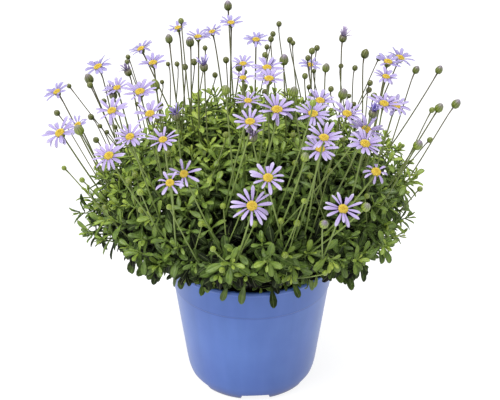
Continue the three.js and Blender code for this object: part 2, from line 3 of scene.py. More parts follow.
import bpy
import numpy as np
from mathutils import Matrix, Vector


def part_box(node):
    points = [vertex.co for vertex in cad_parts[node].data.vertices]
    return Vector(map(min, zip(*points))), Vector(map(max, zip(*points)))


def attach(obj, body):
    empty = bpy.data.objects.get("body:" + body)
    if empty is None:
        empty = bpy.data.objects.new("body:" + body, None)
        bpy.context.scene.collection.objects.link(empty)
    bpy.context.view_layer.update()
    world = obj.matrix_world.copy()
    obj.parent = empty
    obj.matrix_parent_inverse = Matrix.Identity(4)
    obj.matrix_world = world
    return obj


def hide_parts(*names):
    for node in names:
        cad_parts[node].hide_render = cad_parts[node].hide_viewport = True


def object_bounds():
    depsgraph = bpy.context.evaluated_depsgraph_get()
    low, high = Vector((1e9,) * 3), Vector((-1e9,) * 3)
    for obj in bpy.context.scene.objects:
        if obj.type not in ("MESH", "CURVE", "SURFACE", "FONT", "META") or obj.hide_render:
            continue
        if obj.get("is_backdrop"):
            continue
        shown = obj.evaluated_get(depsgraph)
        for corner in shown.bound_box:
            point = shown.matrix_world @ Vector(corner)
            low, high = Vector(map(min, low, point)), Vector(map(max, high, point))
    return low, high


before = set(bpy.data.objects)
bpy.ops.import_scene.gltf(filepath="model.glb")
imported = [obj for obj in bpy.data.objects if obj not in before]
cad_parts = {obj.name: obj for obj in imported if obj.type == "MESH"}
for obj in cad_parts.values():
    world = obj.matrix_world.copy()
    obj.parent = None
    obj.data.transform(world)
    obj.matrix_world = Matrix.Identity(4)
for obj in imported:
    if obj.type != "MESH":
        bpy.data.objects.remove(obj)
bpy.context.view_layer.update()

# NURSERY POT
# One thin shell of blue polypropylene, injection moulded in one shot: a rolled lip, a collar that
# ends in a step, a tapered wall, a rounded heel, and a foot ring with six notches for the water.
# Each corner is given as radius, height and how far it is rounded, in millimetres.
pot_corners = [
    (0, 3.2, 0), (39.5, 3.2, 0.4), (39.5, 0, 0.5), (44, 0, 1.0), (47, 1.8, 2.2), (49.8, 6.7, 3.5),
    (51.6, 13.5, 6), (60.6, 84, 0.2), (61.3, 84.6, 0.4), (62.7, 104.4, 0.6), (64.6, 104.9, 0.5),
    (65, 106.2, 0.9), (64.2, 108, 0.6), (62.1, 108, 0.6), (59, 84, 2), (50, 13.5, 5),
    (44, 5.2, 2), (0, 5.2, 0),
]
pot_sides = 216
notch_count = 6
notch_width = 27.0
notch_slant = 3.0
notch_turn = math.radians(3.6)
# Radius and height of the space that a notch leaves, from inside the foot ring out past the heel
notch_outline = [(34, -1), (54, -1), (54, 9.6), (43, 3), (34, 3)]
# The same for a drain hole, about its own middle
drain_outline = [(0, -2), (4, -2), (4, 8), (0, 8)]
drain_sides = 24
drain_circle = 28.0
# A faint upright line where the streams of plastic met, and a dent from stacking beside the lip on
# the left: bearing from +X, half width, rise, and the heights that each runs between
weld_line = (math.radians(263.5), 2.4, 0.22, 16, 82)
dent = (math.radians(222.5), 1.3, -0.45, 88, 102)
# Both fade over this height at their ends, and only the wall outside this radius has them
mark_fade = 8
wall_from = 48
# The tone of a part whose material doesn't vary over it
plain = (0, 0, 0, 0)


def eased(corners):
    """The outline with each corner rounded to five points, over at most 0.45 of a side."""
    points = []
    for i, (radius, height, ease) in enumerate(corners):
        corner = np.array([radius, height], float)
        if ease == 0:
            points.append(corner)
            continue
        ends = []
        for other in (corners[i - 1], corners[i + 1]):
            reach = np.array(other[:2], float) - corner
            length = np.linalg.norm(reach)
            ends.append(corner + reach * min(ease / length, 0.45))
        for t in (0, 0.25, 0.5, 0.75, 1):
            points.append((1 - t) ** 2 * ends[0] + 2 * t * (1 - t) * corner + t * t * ends[1])
    return points


def ring_faces(rings, sides):
    """The faces between rings of points that follow each other."""
    here = np.arange(sides)
    beside = np.roll(here, -1)
    low = np.arange(rings - 1)[:, None] * sides
    high = low + sides
    return np.stack([low + here, low + beside, high + beside, high + here], axis=2).reshape(-1, 4)


def turned(outline, sides):
    """A closed body about Z from (radius, height) points, of which the first and last are on the
    axis: its points and faces."""
    turn = np.arange(sides) * 2 * math.pi / sides
    rings = [np.c_[r * np.cos(turn), r * np.sin(turn), np.full(sides, z)] for r, z in outline[1:-1]]
    points = np.concatenate([*rings, [[0, 0, outline[0][1]], [0, 0, outline[-1][1]]]])
    here = np.arange(sides)
    beside = np.roll(here, -1)
    top = (len(rings) - 1) * sides
    first, last = len(points) - 2, len(points) - 1
    faces = ring_faces(len(rings), sides).tolist()
    faces += np.c_[np.full(sides, first), beside, here].tolist()
    faces += np.c_[top + here, top + beside, np.full(sides, last)].tolist()
    return points, faces


def one_piece(name, parts, materials, crease=180.0):
    """One object from parts, each with its points in millimetres, its faces, its tone and the
    number of its material. The tone is four shares that the materials read as the colour
    attribute "tone"."""
    points, faces, tones, numbers = [], [], [], []
    start = 0
    for part_points, part_faces, tone, number in parts:
        points.append(part_points)
        tones.append(np.broadcast_to(tone, (len(part_points), 4)))
        faces += [[start + corner for corner in face] for face in part_faces]
        numbers += [number] * len(part_faces)
        start += len(part_points)
    mesh = bpy.data.meshes.new(name)
    mesh.from_pydata((np.concatenate(points) / 1000).tolist(), [], faces)
    mesh.polygons.foreach_set("material_index", numbers)
    mesh.polygons.foreach_set("use_smooth", [True] * len(faces))
    stored = mesh.color_attributes.new("tone", "FLOAT_COLOR", "POINT")
    stored.data.foreach_set("color", np.concatenate(tones).ravel())
    if crease < 180:
        mesh.set_sharp_from_angle(angle=math.radians(crease))
    for material in materials:
        mesh.materials.append(material)
    piece = bpy.data.objects.new(name, mesh)
    bpy.context.collection.objects.link(piece)
    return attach(piece, "root")


def spot(bearing, out=1.0, height=0.0):
    """The place at a bearing from +X, that far out from the axis, and at a height."""
    return np.array([out * math.cos(bearing), out * math.sin(bearing), height])


def turn_from(side, bearing):
    """How far the bearing is turned from the side, at most half a turn either way."""
    return (bearing - side + math.pi) % (2 * math.pi) - math.pi


def linear(hex_colour):
    """A linear colour from an sRGB hex value such as "6C86CB"."""
    shares = [int(hex_colour[i:i + 2], 16) / 255 for i in (0, 2, 4)]
    return [c / 12.92 if c <= 0.04045 else ((c + 0.055) / 1.055) ** 2.4 for c in shares] + [1]


def feed(tree, node, inputs):
    """Gives a node its inputs: numbers, or links from sockets or from the first output of nodes."""
    for name, value in inputs.items():
        if isinstance(value, bpy.types.Node):
            value = value.outputs[0]
        if isinstance(value, bpy.types.NodeSocket):
            tree.links.new(value, node.inputs[name])
        else:
            node.inputs[name].default_value = value


def add(tree, kind, settings=None, inputs=None, stops=None):
    """A node of that kind, with its settings, its inputs and the stops of a colour ramp."""
    node = tree.nodes.new("ShaderNode" + kind)
    for name, value in (settings or {}).items():
        setattr(node, name, value)
    feed(tree, node, inputs or {})
    if stops:
        elements = node.color_ramp.elements
        while len(elements) < len(stops):
            elements.new(0.5)
        for element, (share, colour) in zip(elements, stops):
            element.position = share
            element.color = linear(colour)
    return node


def finish(name, roughness, ior):
    """A new material, its node tree and its shader."""
    material = bpy.data.materials.new(name)
    material.use_nodes = True
    tree = material.node_tree
    shader = tree.nodes["Principled BSDF"]
    feed(tree, shader, {"Roughness": roughness, "IOR": ior})
    return material, tree, shader


# Blue polypropylene, injection moulded in a fine-grained tool: a satin skin with soft highlights,
# faint upright flow streaks, and slightly chalky patches.
polypropylene, tree, shader = finish("blue_polypropylene", 0.33, 1.47)
place = add(tree, "TexCoord").outputs["Object"]
upright = add(tree, "Mapping", inputs={"Vector": place, "Scale": (1, 1, 0.08)})
# Flow streaks 12 mm apart, long up the wall
streaks = add(tree, "TexNoise", inputs={"Vector": upright, "Scale": 85.0, "Detail": 3.0})
# Chalky patches 22 mm wide
mottle = add(tree, "TexNoise", inputs={"Vector": place, "Scale": 45.0, "Detail": 2.0})
body = add(tree, "ValToRGB", inputs={"Fac": streaks},
           stops=[(0.3, "4F70B6"), (0.5, "5273BB"), (0.7, "5676BE")])
chalk = add(tree, "ValToRGB", inputs={"Fac": mottle},
            stops=[(0.35, "FFFFFF"), (0.7, "F2F3F9")])
skin = add(tree, "MixRGB", {"blend_type": "MULTIPLY"}, {"Fac": 1.0, "Color1": body, "Color2": chalk})
# Painted shade: the colour darkens towards the foot and is a little darker on the band above the
# collar, under the leaves. The lowest 8 mm carry a painted contact shadow, and a painted shade line
# lies in the corner under the collar's step, from 83.6 to 84.6 mm up
upward = add(tree, "SeparateXYZ", inputs={"Vector": place}).outputs["Z"]
upward = add(tree, "MapRange", inputs={"Value": upward, "From Max": 0.108})
depth = add(tree, "ValToRGB", inputs={"Fac": upward},
            stops=[(0.0, "464E6C"), (0.04, "8890AC"), (0.07, "BAC1D4"), (0.12, "D9DEE8"),
                   (0.45, "FAFAFC"), (0.768, "FCFCFE"), (0.774, "D6D9E4"), (0.784, "D6D9E4"),
                   (0.792, "F4F5FA"), (1.0, "F0F2F8")])
skin = add(tree, "MixRGB", {"blend_type": "MULTIPLY"}, {"Fac": 1.0, "Color1": skin, "Color2": depth})
# The tool's grain is 0.1 mm, drawn at 0.9 mm so that it shows at this size
grain = add(tree, "TexNoise", inputs={"Vector": place, "Scale": 1100.0, "Detail": 2.0})
relief = add(tree, "Bump", inputs={"Height": grain, "Strength": 0.06, "Distance": 0.0004})
feed(tree, shader, {"Base Color": skin, "Normal": relief})

shell, shell_faces = turned(eased(pot_corners), pot_sides)
reach = np.hypot(shell[:, 0], shell[:, 1])
bearing = np.arctan2(shell[:, 1], shell[:, 0])
height = shell[:, 2]
for middle, half_width, rise, low, high in (weld_line, dent):
    apart = np.abs(turn_from(middle, bearing)) * reach
    share = np.clip((height - low) / mark_fade, 0, 1) * np.clip((high - height) / mark_fade, 0, 1)
    push = rise * np.exp(-(apart / half_width) ** 2) * share * (reach > wall_from)
    shell[:, :2] *= (1 + push / np.maximum(reach, 1))[:, None]
pot = one_piece("nursery_pot", [(shell, shell_faces, plain, 0)], [polypropylene], crease=32)
cutters = []
for i in range(notch_count):
    angle = notch_turn - math.pi / 2 + i * 2 * math.pi / notch_count
    radial = spot(angle)
    across = np.array([-math.sin(angle), math.cos(angle), 0])
    hole, hole_faces = turned(drain_outline, drain_sides)
    cutters.append((hole + drain_circle * radial, hole_faces, plain, 0))
    corners = []
    for side in (-1, 1):
        for out, level in notch_outline:
            half = notch_width / 2 - notch_slant * (level > 0)
            corners.append(radial * out + across * side * half + [0, 0, level])
    left = list(range(len(notch_outline)))
    right = [corner + len(left) for corner in left]
    notch_faces = [left, right[::-1]]
    for j in left:
        notch_faces.append([left[j - 1], right[j - 1], right[j], left[j]])
    cutters.append((np.array(corners), notch_faces, plain, 0))
punch = one_piece("foot_punch", cutters, [polypropylene])
cut = pot.modifiers.new("drain_holes_and_notches", "BOOLEAN")
cut.object = punch
cut.operation = "DIFFERENCE"
cut.solver = "EXACT"
with bpy.context.temp_override(object=pot, active_object=pot, selected_objects=[pot]):
    bpy.ops.object.modifier_apply(modifier=cut.name)
bpy.data.objects.remove(punch)
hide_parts("pot")

# SOIL
# One plug of dark, moist peat that fills the pot to 12 mm below the lip. Its top is loose crumbs,
# which lie pressed together as they were filled in by machine.
soil_top = 96
soil_radius = 57.6
# Radius and height from the middle of its floor up to its rim, 0.3 mm clear of the pot
soil_outline = [(0, 5.5), (43, 5.5), (49.7, 14.5), (58.7, 84), (58.8, 94.5), (soil_radius, soil_top)]
soil_sides = 96
soil_rings = 16
# How far the top lies below and above its level
soil_unevenness = (-0.9, 0.7)
crumb_count = 520
crumb_reach = 56
crumb_radius = (0.7, 2.3)
# The shares of its radius at which a crumb's corners lie
crumb_lumps = (0.7, 1.2)
draw = np.random.default_rng(7)

# Moist peat substrate: nearly black brown with paler fibres, quite matt, lumpy at 2.5 mm.
peat, tree, shader = finish("moist_peat", 0.95, 1.4)
place = add(tree, "TexCoord").outputs["Object"]
fibre = add(tree, "TexNoise", inputs={"Vector": place, "Scale": 420.0, "Detail": 5.0})
crumb = add(tree, "TexVoronoi", inputs={"Vector": place, "Scale": 380.0})
earth = add(tree, "ValToRGB", inputs={"Fac": fibre},
            stops=[(0.3, "0B0806"), (0.55, "1C140E"), (0.72, "33261A"), (0.8, "5A4632")])
relief = add(tree, "Bump", inputs={"Height": crumb, "Strength": 0.8, "Distance": 0.0015})
feed(tree, shader, {"Base Color": earth, "Normal": relief})

top_rings = [(soil_radius * (1 - i / soil_rings), soil_top) for i in range(1, soil_rings)]
plug, plug_faces = turned([*soil_outline, *top_rings, (0, soil_top)], soil_sides)
loose = plug[:, 2] > soil_top - 0.1
plug[loose, 2] += draw.uniform(*soil_unevenness, loose.sum())
soil_parts = [(plug, plug_faces, plain, 0)]
# A crumb starts as a body of twenty equal triangles, which the golden ratio gives
gold = (1 + math.sqrt(5)) / 2
crumb_corners = np.array([
    (-1, gold, 0), (1, gold, 0), (-1, -gold, 0), (1, -gold, 0), (0, -1, gold), (0, 1, gold),
    (0, -1, -gold), (0, 1, -gold), (gold, 0, -1), (gold, 0, 1), (-gold, 0, -1), (-gold, 0, 1),
]) / math.hypot(1, gold)
crumb_faces = [
    (0, 11, 5), (0, 5, 1), (0, 1, 7), (0, 7, 10), (0, 10, 11), (1, 5, 9), (5, 11, 4),
    (11, 10, 2), (10, 7, 6), (7, 1, 8), (3, 9, 4), (3, 4, 2), (3, 2, 6), (3, 6, 8),
    (3, 8, 9), (4, 9, 5), (2, 4, 11), (6, 2, 10), (8, 6, 7), (9, 8, 1),
]
for _ in range(crumb_count):
    size = crumb_radius[0] + (crumb_radius[1] - crumb_radius[0]) * draw.random() ** 2
    out = crumb_reach * math.sqrt(draw.random())
    angle = draw.uniform(0, 2 * math.pi)
    lump = crumb_corners * size * draw.uniform(*crumb_lumps, (len(crumb_corners), 1))
    soil_parts.append((lump + spot(angle, out, soil_top + 0.3 * size), crumb_faces, plain, 0))
soil = one_piece("peat_fill", soil_parts, [peat], crease=40)
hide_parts("soil")

# LEAFY SHOOTS
# Six young plants share the pot, one in the middle and five round it. Each branches from its foot
# in the soil into many thin woody shoots. A shoot carries thick spoon-shaped leaves in pairs, each
# pair crosswise to the next, bright and crowded at the tip, larger, darker and hanging below.

# The leaves form a dome: its radius, how far it rises above its widest level, and that level
dome_radius = 112.0
dome_rise = 78.0
dome_waist = 145.0
# Shoots up to this distance from the axis belong to the plant in the middle
centre_reach = 40.0
outer_clumps = 5
foot_circle = 46.0
# Shoots over the whole dome, in the skirt above the lip and in the shade inside
shoot_count = 540
skirt_count = 84
inner_count = 100
# How high the lowest shoots of the dome stand, and how far the others range, as shares of its rise
lowest_shoot = -0.36
shoot_range = 1.36
# A shoot's tip lies at this share of the dome's radius, or further out by up to the second
tip_reach = 0.88
tip_range = 0.2
skirt_reach = (60, 92)
skirt_floor = 110
inner_reach = (0.62, 0.8)
# How old the leaves at a tip are and how much painted shade darkens them, from 0 to 1: in the skirt,
# and in the shade inside
skirt_age_and_shade = (0.08, 0.52)
inner_age_and_shade = (0.74, 0.97)
# Where the plant has grown out further, or has a shady hollow: bearing, how high on the dome,
# share of its radius. Then how far each spreads round and up, and how dark the painted shade in the
# hollows is
outgrowths = [(3.25, -0.1, 0.12), (3.1, 0.5, 0.045), (0.05, 0.52, 0.07), (-1.0, 0.75, -0.08),
              (-1.35, 0.5, -0.06), (-1.8, 0.4, -0.04), (-2.4, -0.15, -0.05)]
outgrowth_width = 0.5
outgrowth_height = 0.28
hollow_shade = 4.2
# How low leaves hang at four distances from the axis, and how much higher on the right
hang_distances = (65, 96, 108, 130)
hang_heights = np.array([101, 105, 118, 130])
hang_right = np.array([0, 6, 4, 0])
# In front they end above the lip: the height at its radius, and the rise for each millimetre out
lip_radius = 65
front_height = 110.5
front_slope = 0.68
# Pairs of leaves from the tip down: how far below it, how far they lean out in degrees, length
leaf_pairs = [(0.5, 20, 6), (2.5, 42, 9.5), (6, 58, 12), (11, 70, 13.5), (17, 80, 14.5),
              (24, 92, 15.5)]
leaf_outline = [(0, 0.26), (0.25, 0.34), (0.5, 0.82), (0.7, 1.0), (0.89, 0.78), (1, 0.26)]
leaf_slimness = 0.36
leaf_thickness = 0.75
leaf_fold = 0.32
# Leaves past this age have lost their sheen, and none is drawn older than the second
old_age = 0.42
most_age = 0.97
# Single old leaves that trail over the lip, and sprays that droop beside the pot: bearing and
# distance from the axis
trailing_count = 26
droops = [(3.56, 72), (3.42, 78), (3.3, 86), (-0.5, 70), (-0.42, 76), (-0.3, 81), (1.2, 80)]
droop_leaves = 4
stem_radii = (1.1, 0.5)
stem_steps = 7
stem_sides = 5
# A stem's last stretch runs straight to its tip over about this length
stem_straight = 32
# Height above the soil and radius of each clump's woody foot
foot_outline = [(-15.6, 2.5), (-7, 2.7), (0, 2.8), (7, 2.2)]
foot_sides = 10
# Across the upper side of a leaf or a ray: share of its half width, share of its fold. Then the
# first share of the tone there, and on the underside
blade_section = [(-1, 1), (-0.5, 0.72), (0, 0), (0.5, 0.72), (1, 1)]
blade_tones = [1, 0.45, 0, 0.45, 1, 0.2]
draw = np.random.default_rng(31)


def blades(rows, outline, thickness, fold):
    """Closed thin blades, one for each row: where it starts, its direction and its upper side,
    then its length, its width, how far it bends down along its length, and a share of its tone.
    The outline is (share of the length, share of the width), and the fold raises the margins. The
    tone is 0 at the midrib to 1 at the margin, the share of the length, and the row's share."""
    rows = np.array(rows)
    base, along, face = rows[:, None, 0:3], rows[:, None, 3:6], rows[:, None, 6:9]
    length, width, curl, tone = rows[:, 9:].T[..., None]
    share, half = np.array(outline).T
    half = width * half / 2
    bend = curl * share ** 1.3
    steps = np.diff(share, prepend=0)
    reach = length * np.cumsum(np.cos(bend) * steps, axis=1)
    drop = length * np.cumsum(np.sin(bend) * steps, axis=1)
    spine = base + along * reach[..., None] - face * drop[..., None]
    up = face * np.cos(bend)[..., None] + along * np.sin(bend)[..., None]
    side = np.cross(along, face)
    columns = [spine + (side * across + up * fold * rise) * half[..., None]
               for across, rise in blade_section]
    # The underside is one line, which nears the upper side towards the tip
    taper = np.minimum(1, 1.6 * (1.05 - share))[None, :, None]
    columns.append(spine - up * thickness * taper)
    points = np.stack(columns, axis=2)
    count, steps, around = points.shape[:3]
    tones = np.zeros((count, steps, around, 4))
    tones[..., 0] = blade_tones
    tones[..., 1] = share[None, :, None]
    tones[..., 2] = tone[..., None]
    here = np.arange(around)
    starts = np.arange(count)[:, None, None] * steps * around
    faces = (ring_faces(steps, around) + starts).reshape(-1, 4).tolist()
    faces += (here[::-1][None] + starts[:, 0]).tolist()
    faces += (here[None] + around * (steps - 1) + starts[:, 0]).tolist()
    return points.reshape(-1, 3), faces, tones.reshape(-1, 4)


def unit(vector):
    """The same direction, one millimetre long."""
    return vector / np.linalg.norm(vector, axis=-1, keepdims=True)


def square_to(along, face):
    """A blade's upper side, turned square to its direction."""
    return unit(face - along * (face @ along))


def curve(start, first, last, end, count):
    """Points on a smooth curve from start to end, which first and last pull towards them."""
    return [(1 - t) ** 3 * start + 3 * t * (1 - t) ** 2 * first + 3 * t * t * (1 - t) * last
            + t ** 3 * end for t in np.linspace(0, 1, count)]


def tube(path, radii, sides):
    """A closed tube through the points."""
    path = np.asarray(path, float)
    ahead = unit(np.gradient(path, axis=0))
    side = np.array([1.0, 0, 0]) if abs(ahead[0][2]) > 0.8 else np.array([0, 0, 1.0])
    turn = np.arange(sides)[:, None] * 2 * math.pi / sides
    rings = []
    for at, forward, radius in zip(path, ahead, radii):
        side = unit(side - forward * (side @ forward))
        other = np.cross(forward, side)
        rings.append(at + radius * (np.cos(turn) * side + np.sin(turn) * other))
    here = np.arange(sides)
    faces = [here[::-1].tolist(), (here + sides * (len(path) - 1)).tolist()]
    faces += ring_faces(len(path), sides).tolist()
    return np.concatenate(rings), faces


def tube_tones(steps, sides, share=0.0):
    """A tube's tone: second the share of its length, and third the given share."""
    tones = np.zeros((steps * sides, 4))
    tones[:, 1] = np.repeat(np.linspace(0, 1, steps), sides)
    tones[:, 2] = share
    return tones


def on_dome(bearing, lift, scale):
    """The place on a dome of that scale, at a bearing and that far up from its waist."""
    return spot(bearing, scale * dome_radius * math.cos(lift),
                dome_waist + scale * dome_rise * math.sin(lift))


def lowest_leaf(place):
    """How low the leaves hang: below the lip beside the pot, and higher further out. They stay
    higher on the right, and in front, where the pot shows below them."""
    out = math.hypot(place[0], place[1])
    front = max(-place[1] / out, 0) ** 1.2
    right = max(place[0] / out, 0)
    beside = np.interp(out, hang_distances, hang_heights + hang_right * right)
    return beside + (front_height + front_slope * (out - lip_radius) - beside) * front


def clump_of(point):
    """0 for the plant in the middle, 1 to 5 for those round it."""
    step = 2 * math.pi / outer_clumps
    i = round((math.atan2(point[1], point[0]) + math.pi / 2) / step) % outer_clumps
    middle = i * step - math.pi / 2
    reach = point[0] * math.cos(middle) + point[1] * math.sin(middle)
    return i + 1 if reach > centre_reach else 0


def foot_of(clump, height):
    """Where a clump's foot stands, at that height."""
    middle = (clump - 1) * 2 * math.pi / outer_clumps - math.pi / 2
    return spot(middle, foot_circle * (clump > 0), height)


def clump_name(kind, clump):
    """The name of a clump's node or piece of that kind."""
    return f"{kind}_{clump or 'centre'}"


def plant_finish(name, roughness, ior):
    """As finish, for a part of the plant, with the shares of its tone."""
    material, tree, shader = finish(name, roughness, ior)
    stored = add(tree, "VertexColor", {"layer_name": "tone"}).outputs
    split = add(tree, "SeparateColor", inputs={"Color": stored["Color"]}).outputs
    tones = {share: split[share] for share in ("Red", "Green", "Blue")}
    tones["Alpha"] = stored["Alpha"]
    return material, tree, shader, tones


# Living leaf, thick and slightly waxy: a soft sheen, paler midrib and margin, and small uneven
# patches. It is bright yellow green when young and deep green when old. The same ramp paints shade:
# leaves low down, deep in the plant and in hollows are painted darker, nearly black inside.
leaf, tree, shader, tones = plant_finish("waxy_leaf", 0.42, 1.45)
place = add(tree, "TexCoord").outputs["Object"]
# Patches 4 mm wide, about a third of a leaf
patches = add(tree, "TexNoise", inputs={"Vector": place, "Scale": 260.0, "Detail": 3.0})
age_and_shade = add(tree, "MapRange", inputs={"Value": patches, "From Min": 0.25,
                                    "From Max": 0.75, "To Min": -0.12, "To Max": 0.12})
# The leaf's share of age and of painted shade, varied by the patches
age_and_shade = add(tree, "Math", {"operation": "ADD"}, {0: tones["Blue"], 1: age_and_shade})
blade = add(tree, "ValToRGB", inputs={"Fac": age_and_shade},
            stops=[(0.0, "93A43E"), (0.16, "788E33"), (0.37, "566E2A"), (0.56, "2C3A1B"),
                   (0.76, "0B1109"), (1.0, "0E0D09")])
pale = add(tree, "ValToRGB", inputs={"Fac": tones["Red"]},
           stops=[(0.0, "FFFFFF"), (0.16, "000000"), (0.84, "000000"), (1.0, "8A8A8A")])
veined = add(tree, "Math", {"operation": "MULTIPLY"}, {0: pale, 1: 0.25})
edged = add(tree, "MixRGB", inputs={"Fac": veined, "Color1": blade, "Color2": linear("A5B478")})
# Fine pores and hairs are 0.1 mm, drawn at 0.8 mm so that they break the sheen
pores = add(tree, "TexNoise", inputs={"Vector": place, "Scale": 1250.0, "Detail": 2.0})
relief = add(tree, "Bump", inputs={"Height": pores, "Strength": 0.25, "Distance": 0.0003})
feed(tree, shader, {"Base Color": edged, "Normal": relief, "Specular IOR Level": 0.45})

# Old living leaf: the same skin, its wax worn off and dusty, so nearly without sheen.
old_leaf = leaf.copy()
old_leaf.name = "dull_old_leaf"
feed(old_leaf.node_tree, old_leaf.node_tree.nodes["Principled BSDF"],
     {"Roughness": 0.6, "Specular IOR Level": 0.12})

# Young woody stem: dull olive brown bark, greener towards the tip; its nearly black colour low down
# inside the plant is painted shade.
bark, tree, shader, tones = plant_finish("young_bark", 0.7, 1.45)
skin = add(tree, "ValToRGB", inputs={"Fac": tones["Green"]},
           stops=[(0.0, "17130D"), (0.5, "262414"), (0.85, "434F26"), (1.0, "6F8539")])
feed(tree, shader, {"Base Color": skin})

shoots = []
golden_angle = math.pi * (3 - math.sqrt(5))
for i in range(shoot_count):
    height = lowest_shoot + shoot_range * ((i + 0.5) / shoot_count) ** 0.82
    lift = math.asin(height)
    bearing = golden_angle * i + draw.normal(0, 0.05)
    # Two slow waves run round the dome
    lump = 0.035 * math.sin(3 * bearing + 5 * lift) + 0.03 * math.sin(7 * bearing - 4 * lift + 1)
    # Shoots low down are older and in painted shade, those at the sides are painted lighter, and
    # those in a hollow are painted darker
    shade = 0.7 - 0.54 * max(height, 0) - 0.12 * abs(math.cos(bearing))
    shaded = 0
    for side, level, share in outgrowths:
        round_it = turn_from(side, bearing) / outgrowth_width
        above_it = (lift - level) / outgrowth_height
        extent = share * math.exp(-round_it ** 2 - above_it ** 2)
        lump += extent
        shaded = max(shaded, -hollow_shade * extent)
    proud = draw.random()
    # One in twelve stands out a little further
    stray = 0.06 * (draw.random() < 0.08)
    place = on_dome(bearing, lift, tip_reach + tip_range * proud + lump + stray)
    above = draw.uniform(4, 16)
    place[2] = max(place[2], lowest_leaf(place) + above)
    # It points straight out from the dome, then a little up and aside
    outward = unit(np.array([math.cos(lift) * math.cos(bearing) / dome_radius,
                             math.cos(lift) * math.sin(bearing) / dome_radius,
                             math.sin(lift) / dome_rise]))
    outward = unit(outward + [0, 0, 0.35] + draw.normal(0, 0.22, 3))
    # Shoots that stand deeper in the dome are painted darker, as painted shade
    age_and_shade = shade * (1 - proud) ** 1.25 + shaded + draw.uniform(-0.05, 0.1)
    shoots.append((place, outward, age_and_shade))
for i in range(skirt_count):
    bearing = 2 * math.pi * (i + draw.uniform(0, 0.8)) / skirt_count
    place = spot(bearing, draw.uniform(*skirt_reach))
    above = draw.uniform(4, 14)
    place[2] = max(lowest_leaf(place) + above, skirt_floor)
    outward = unit(spot(bearing, 1, draw.uniform(-0.4, 0.3)))
    shoots.append((place, outward, draw.uniform(*skirt_age_and_shade)))
for i in range(inner_count):
    height = 0.02 + 0.98 * (i + 0.5) / inner_count
    place = on_dome(golden_angle * i + 1, math.asin(height), draw.uniform(*inner_reach))
    outward = unit(place - [0, 0, dome_waist - 20] + draw.normal(0, 12, 3))
    shoots.append((place, outward, draw.uniform(*inner_age_and_shade)))

leaf_rows = [[] for _ in range(outer_clumps + 1)]
stem_parts = [[] for _ in range(outer_clumps + 1)]
stem_tones = tube_tones(stem_steps, stem_sides)
for place, outward, age_and_shade in shoots:
    clump = clump_of(place)
    root = foot_of(clump, soil_top + 1)
    # The stem bows up from its foot
    middle = 0.55 * root + 0.45 * place + [0, 0, 8]
    side = unit(np.cross(outward, [0.1, 0.2, 1.0]))
    other = np.cross(outward, side)
    turn = draw.uniform(0, math.pi)
    size = draw.uniform(0.86, 1.16)
    stem = curve(root, middle, place - outward * stem_straight, place, stem_steps)
    points, faces = tube(stem, np.linspace(*stem_radii, stem_steps), stem_sides)
    stem_parts[clump].append((points, faces, stem_tones, 1))
    # Each pair down hangs more, is older and bends further, and is darker, partly from age and
    # partly as painted shade, less so on shoots that point up
    for pair, (gap, degrees, full_length) in enumerate(leaf_pairs):
        for half in (0, math.pi):
            angle = turn + pair * math.pi / 2 + half + draw.normal(0, 0.18)
            lean = math.radians(degrees + draw.normal(0, 8))
            radial = math.cos(angle) * side + math.sin(angle) * other
            along = outward * math.cos(lean) + radial * math.sin(lean)
            along = unit(along - np.array([0, 0, 0.07 * pair]))
            face = unit(outward + [0, 0, 0.5] + draw.normal(0, 0.12, 3))
            face = square_to(along, face)
            length = size * full_length * draw.uniform(0.85, 1.15)
            leaf_age_and_shade = age_and_shade + (0.12 - 0.05 * max(outward[2], 0)) * pair + draw.normal(0, 0.05)
            base = place - outward * gap * size + radial * 0.4
            curl = draw.uniform(0.1, 0.5) + 0.08 * pair
            leaf_tip = base + length * (along - face * 0.5 * curl)
            if leaf_tip[2] > lowest_leaf(leaf_tip) - draw.exponential(2.5):
                width = length * leaf_slimness * draw.uniform(0.88, 1.15)
                leaf_age_and_shade = min(max(leaf_age_and_shade, 0), most_age)
                leaf_rows[clump].append((*base, *along, *face, length, width, curl, leaf_age_and_shade))

# Old leaves that hang: bearing, distance out, height, age, and how far each turns its upper side
# to the front
hanging = []
for i in range(trailing_count):
    bearing = 2 * math.pi * (i + draw.uniform(0, 0.7)) / trailing_count
    hanging.append((bearing, draw.uniform(63, 66), draw.uniform(114, 119), 0.3, 0))
for bearing, out in droops:
    for _ in range(droop_leaves):
        hanging.append((bearing + draw.normal(0, 0.05), out + draw.normal(0, 2),
                        draw.uniform(112, 118), 0.38, 1.3))
for bearing, out, height, age_and_shade, frontward in hanging:
    radial = spot(bearing)
    base = radial * out + [0, 0, height]
    along = unit(radial * draw.uniform(0.35, 0.6) - [0, 0, 1] + draw.normal(0, 0.12, 3))
    face = unit(radial - [0, frontward, 0] + draw.normal(0, 0.25, 3))
    face = square_to(along, face)
    length = draw.uniform(13, 17) + 2 * (frontward > 0)
    width = length * leaf_slimness
    curl = draw.uniform(-0.2, 0.3)
    leaf_age_and_shade = age_and_shade + draw.uniform(0, 0.25)
    leaf_rows[clump_of(base)].append((*base, *along, *face, length, width, curl, leaf_age_and_shade))

for clump, rows in enumerate(leaf_rows):
    rows = np.array(rows)
    old = rows[:, -1] >= old_age
    parts = [(*blades(rows[~old], leaf_outline, leaf_thickness, leaf_fold), 0),
             (*blades(rows[old], leaf_outline, leaf_thickness, leaf_fold), 2)]
    stump = tube([foot_of(clump, soil_top + rise) for rise, _ in foot_outline],
                 [radius for _, radius in foot_outline], foot_sides)
    parts += [*stem_parts[clump], (*stump, plain, 1)]
    foliage = one_piece(clump_name("foliage", clump), parts, [leaf, bark, old_leaf])
    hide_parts(clump_name("clump", clump))

# STALKS
# Each flower head stands on one long bare stalk, green and round, about a millimetre thick. It
# grows out of a leafy shoot and runs up nearly straight. Heads are placed by where they show from
# the front, in a frame 500 wide and 400 high, and by how far behind the pot's axis they stand.

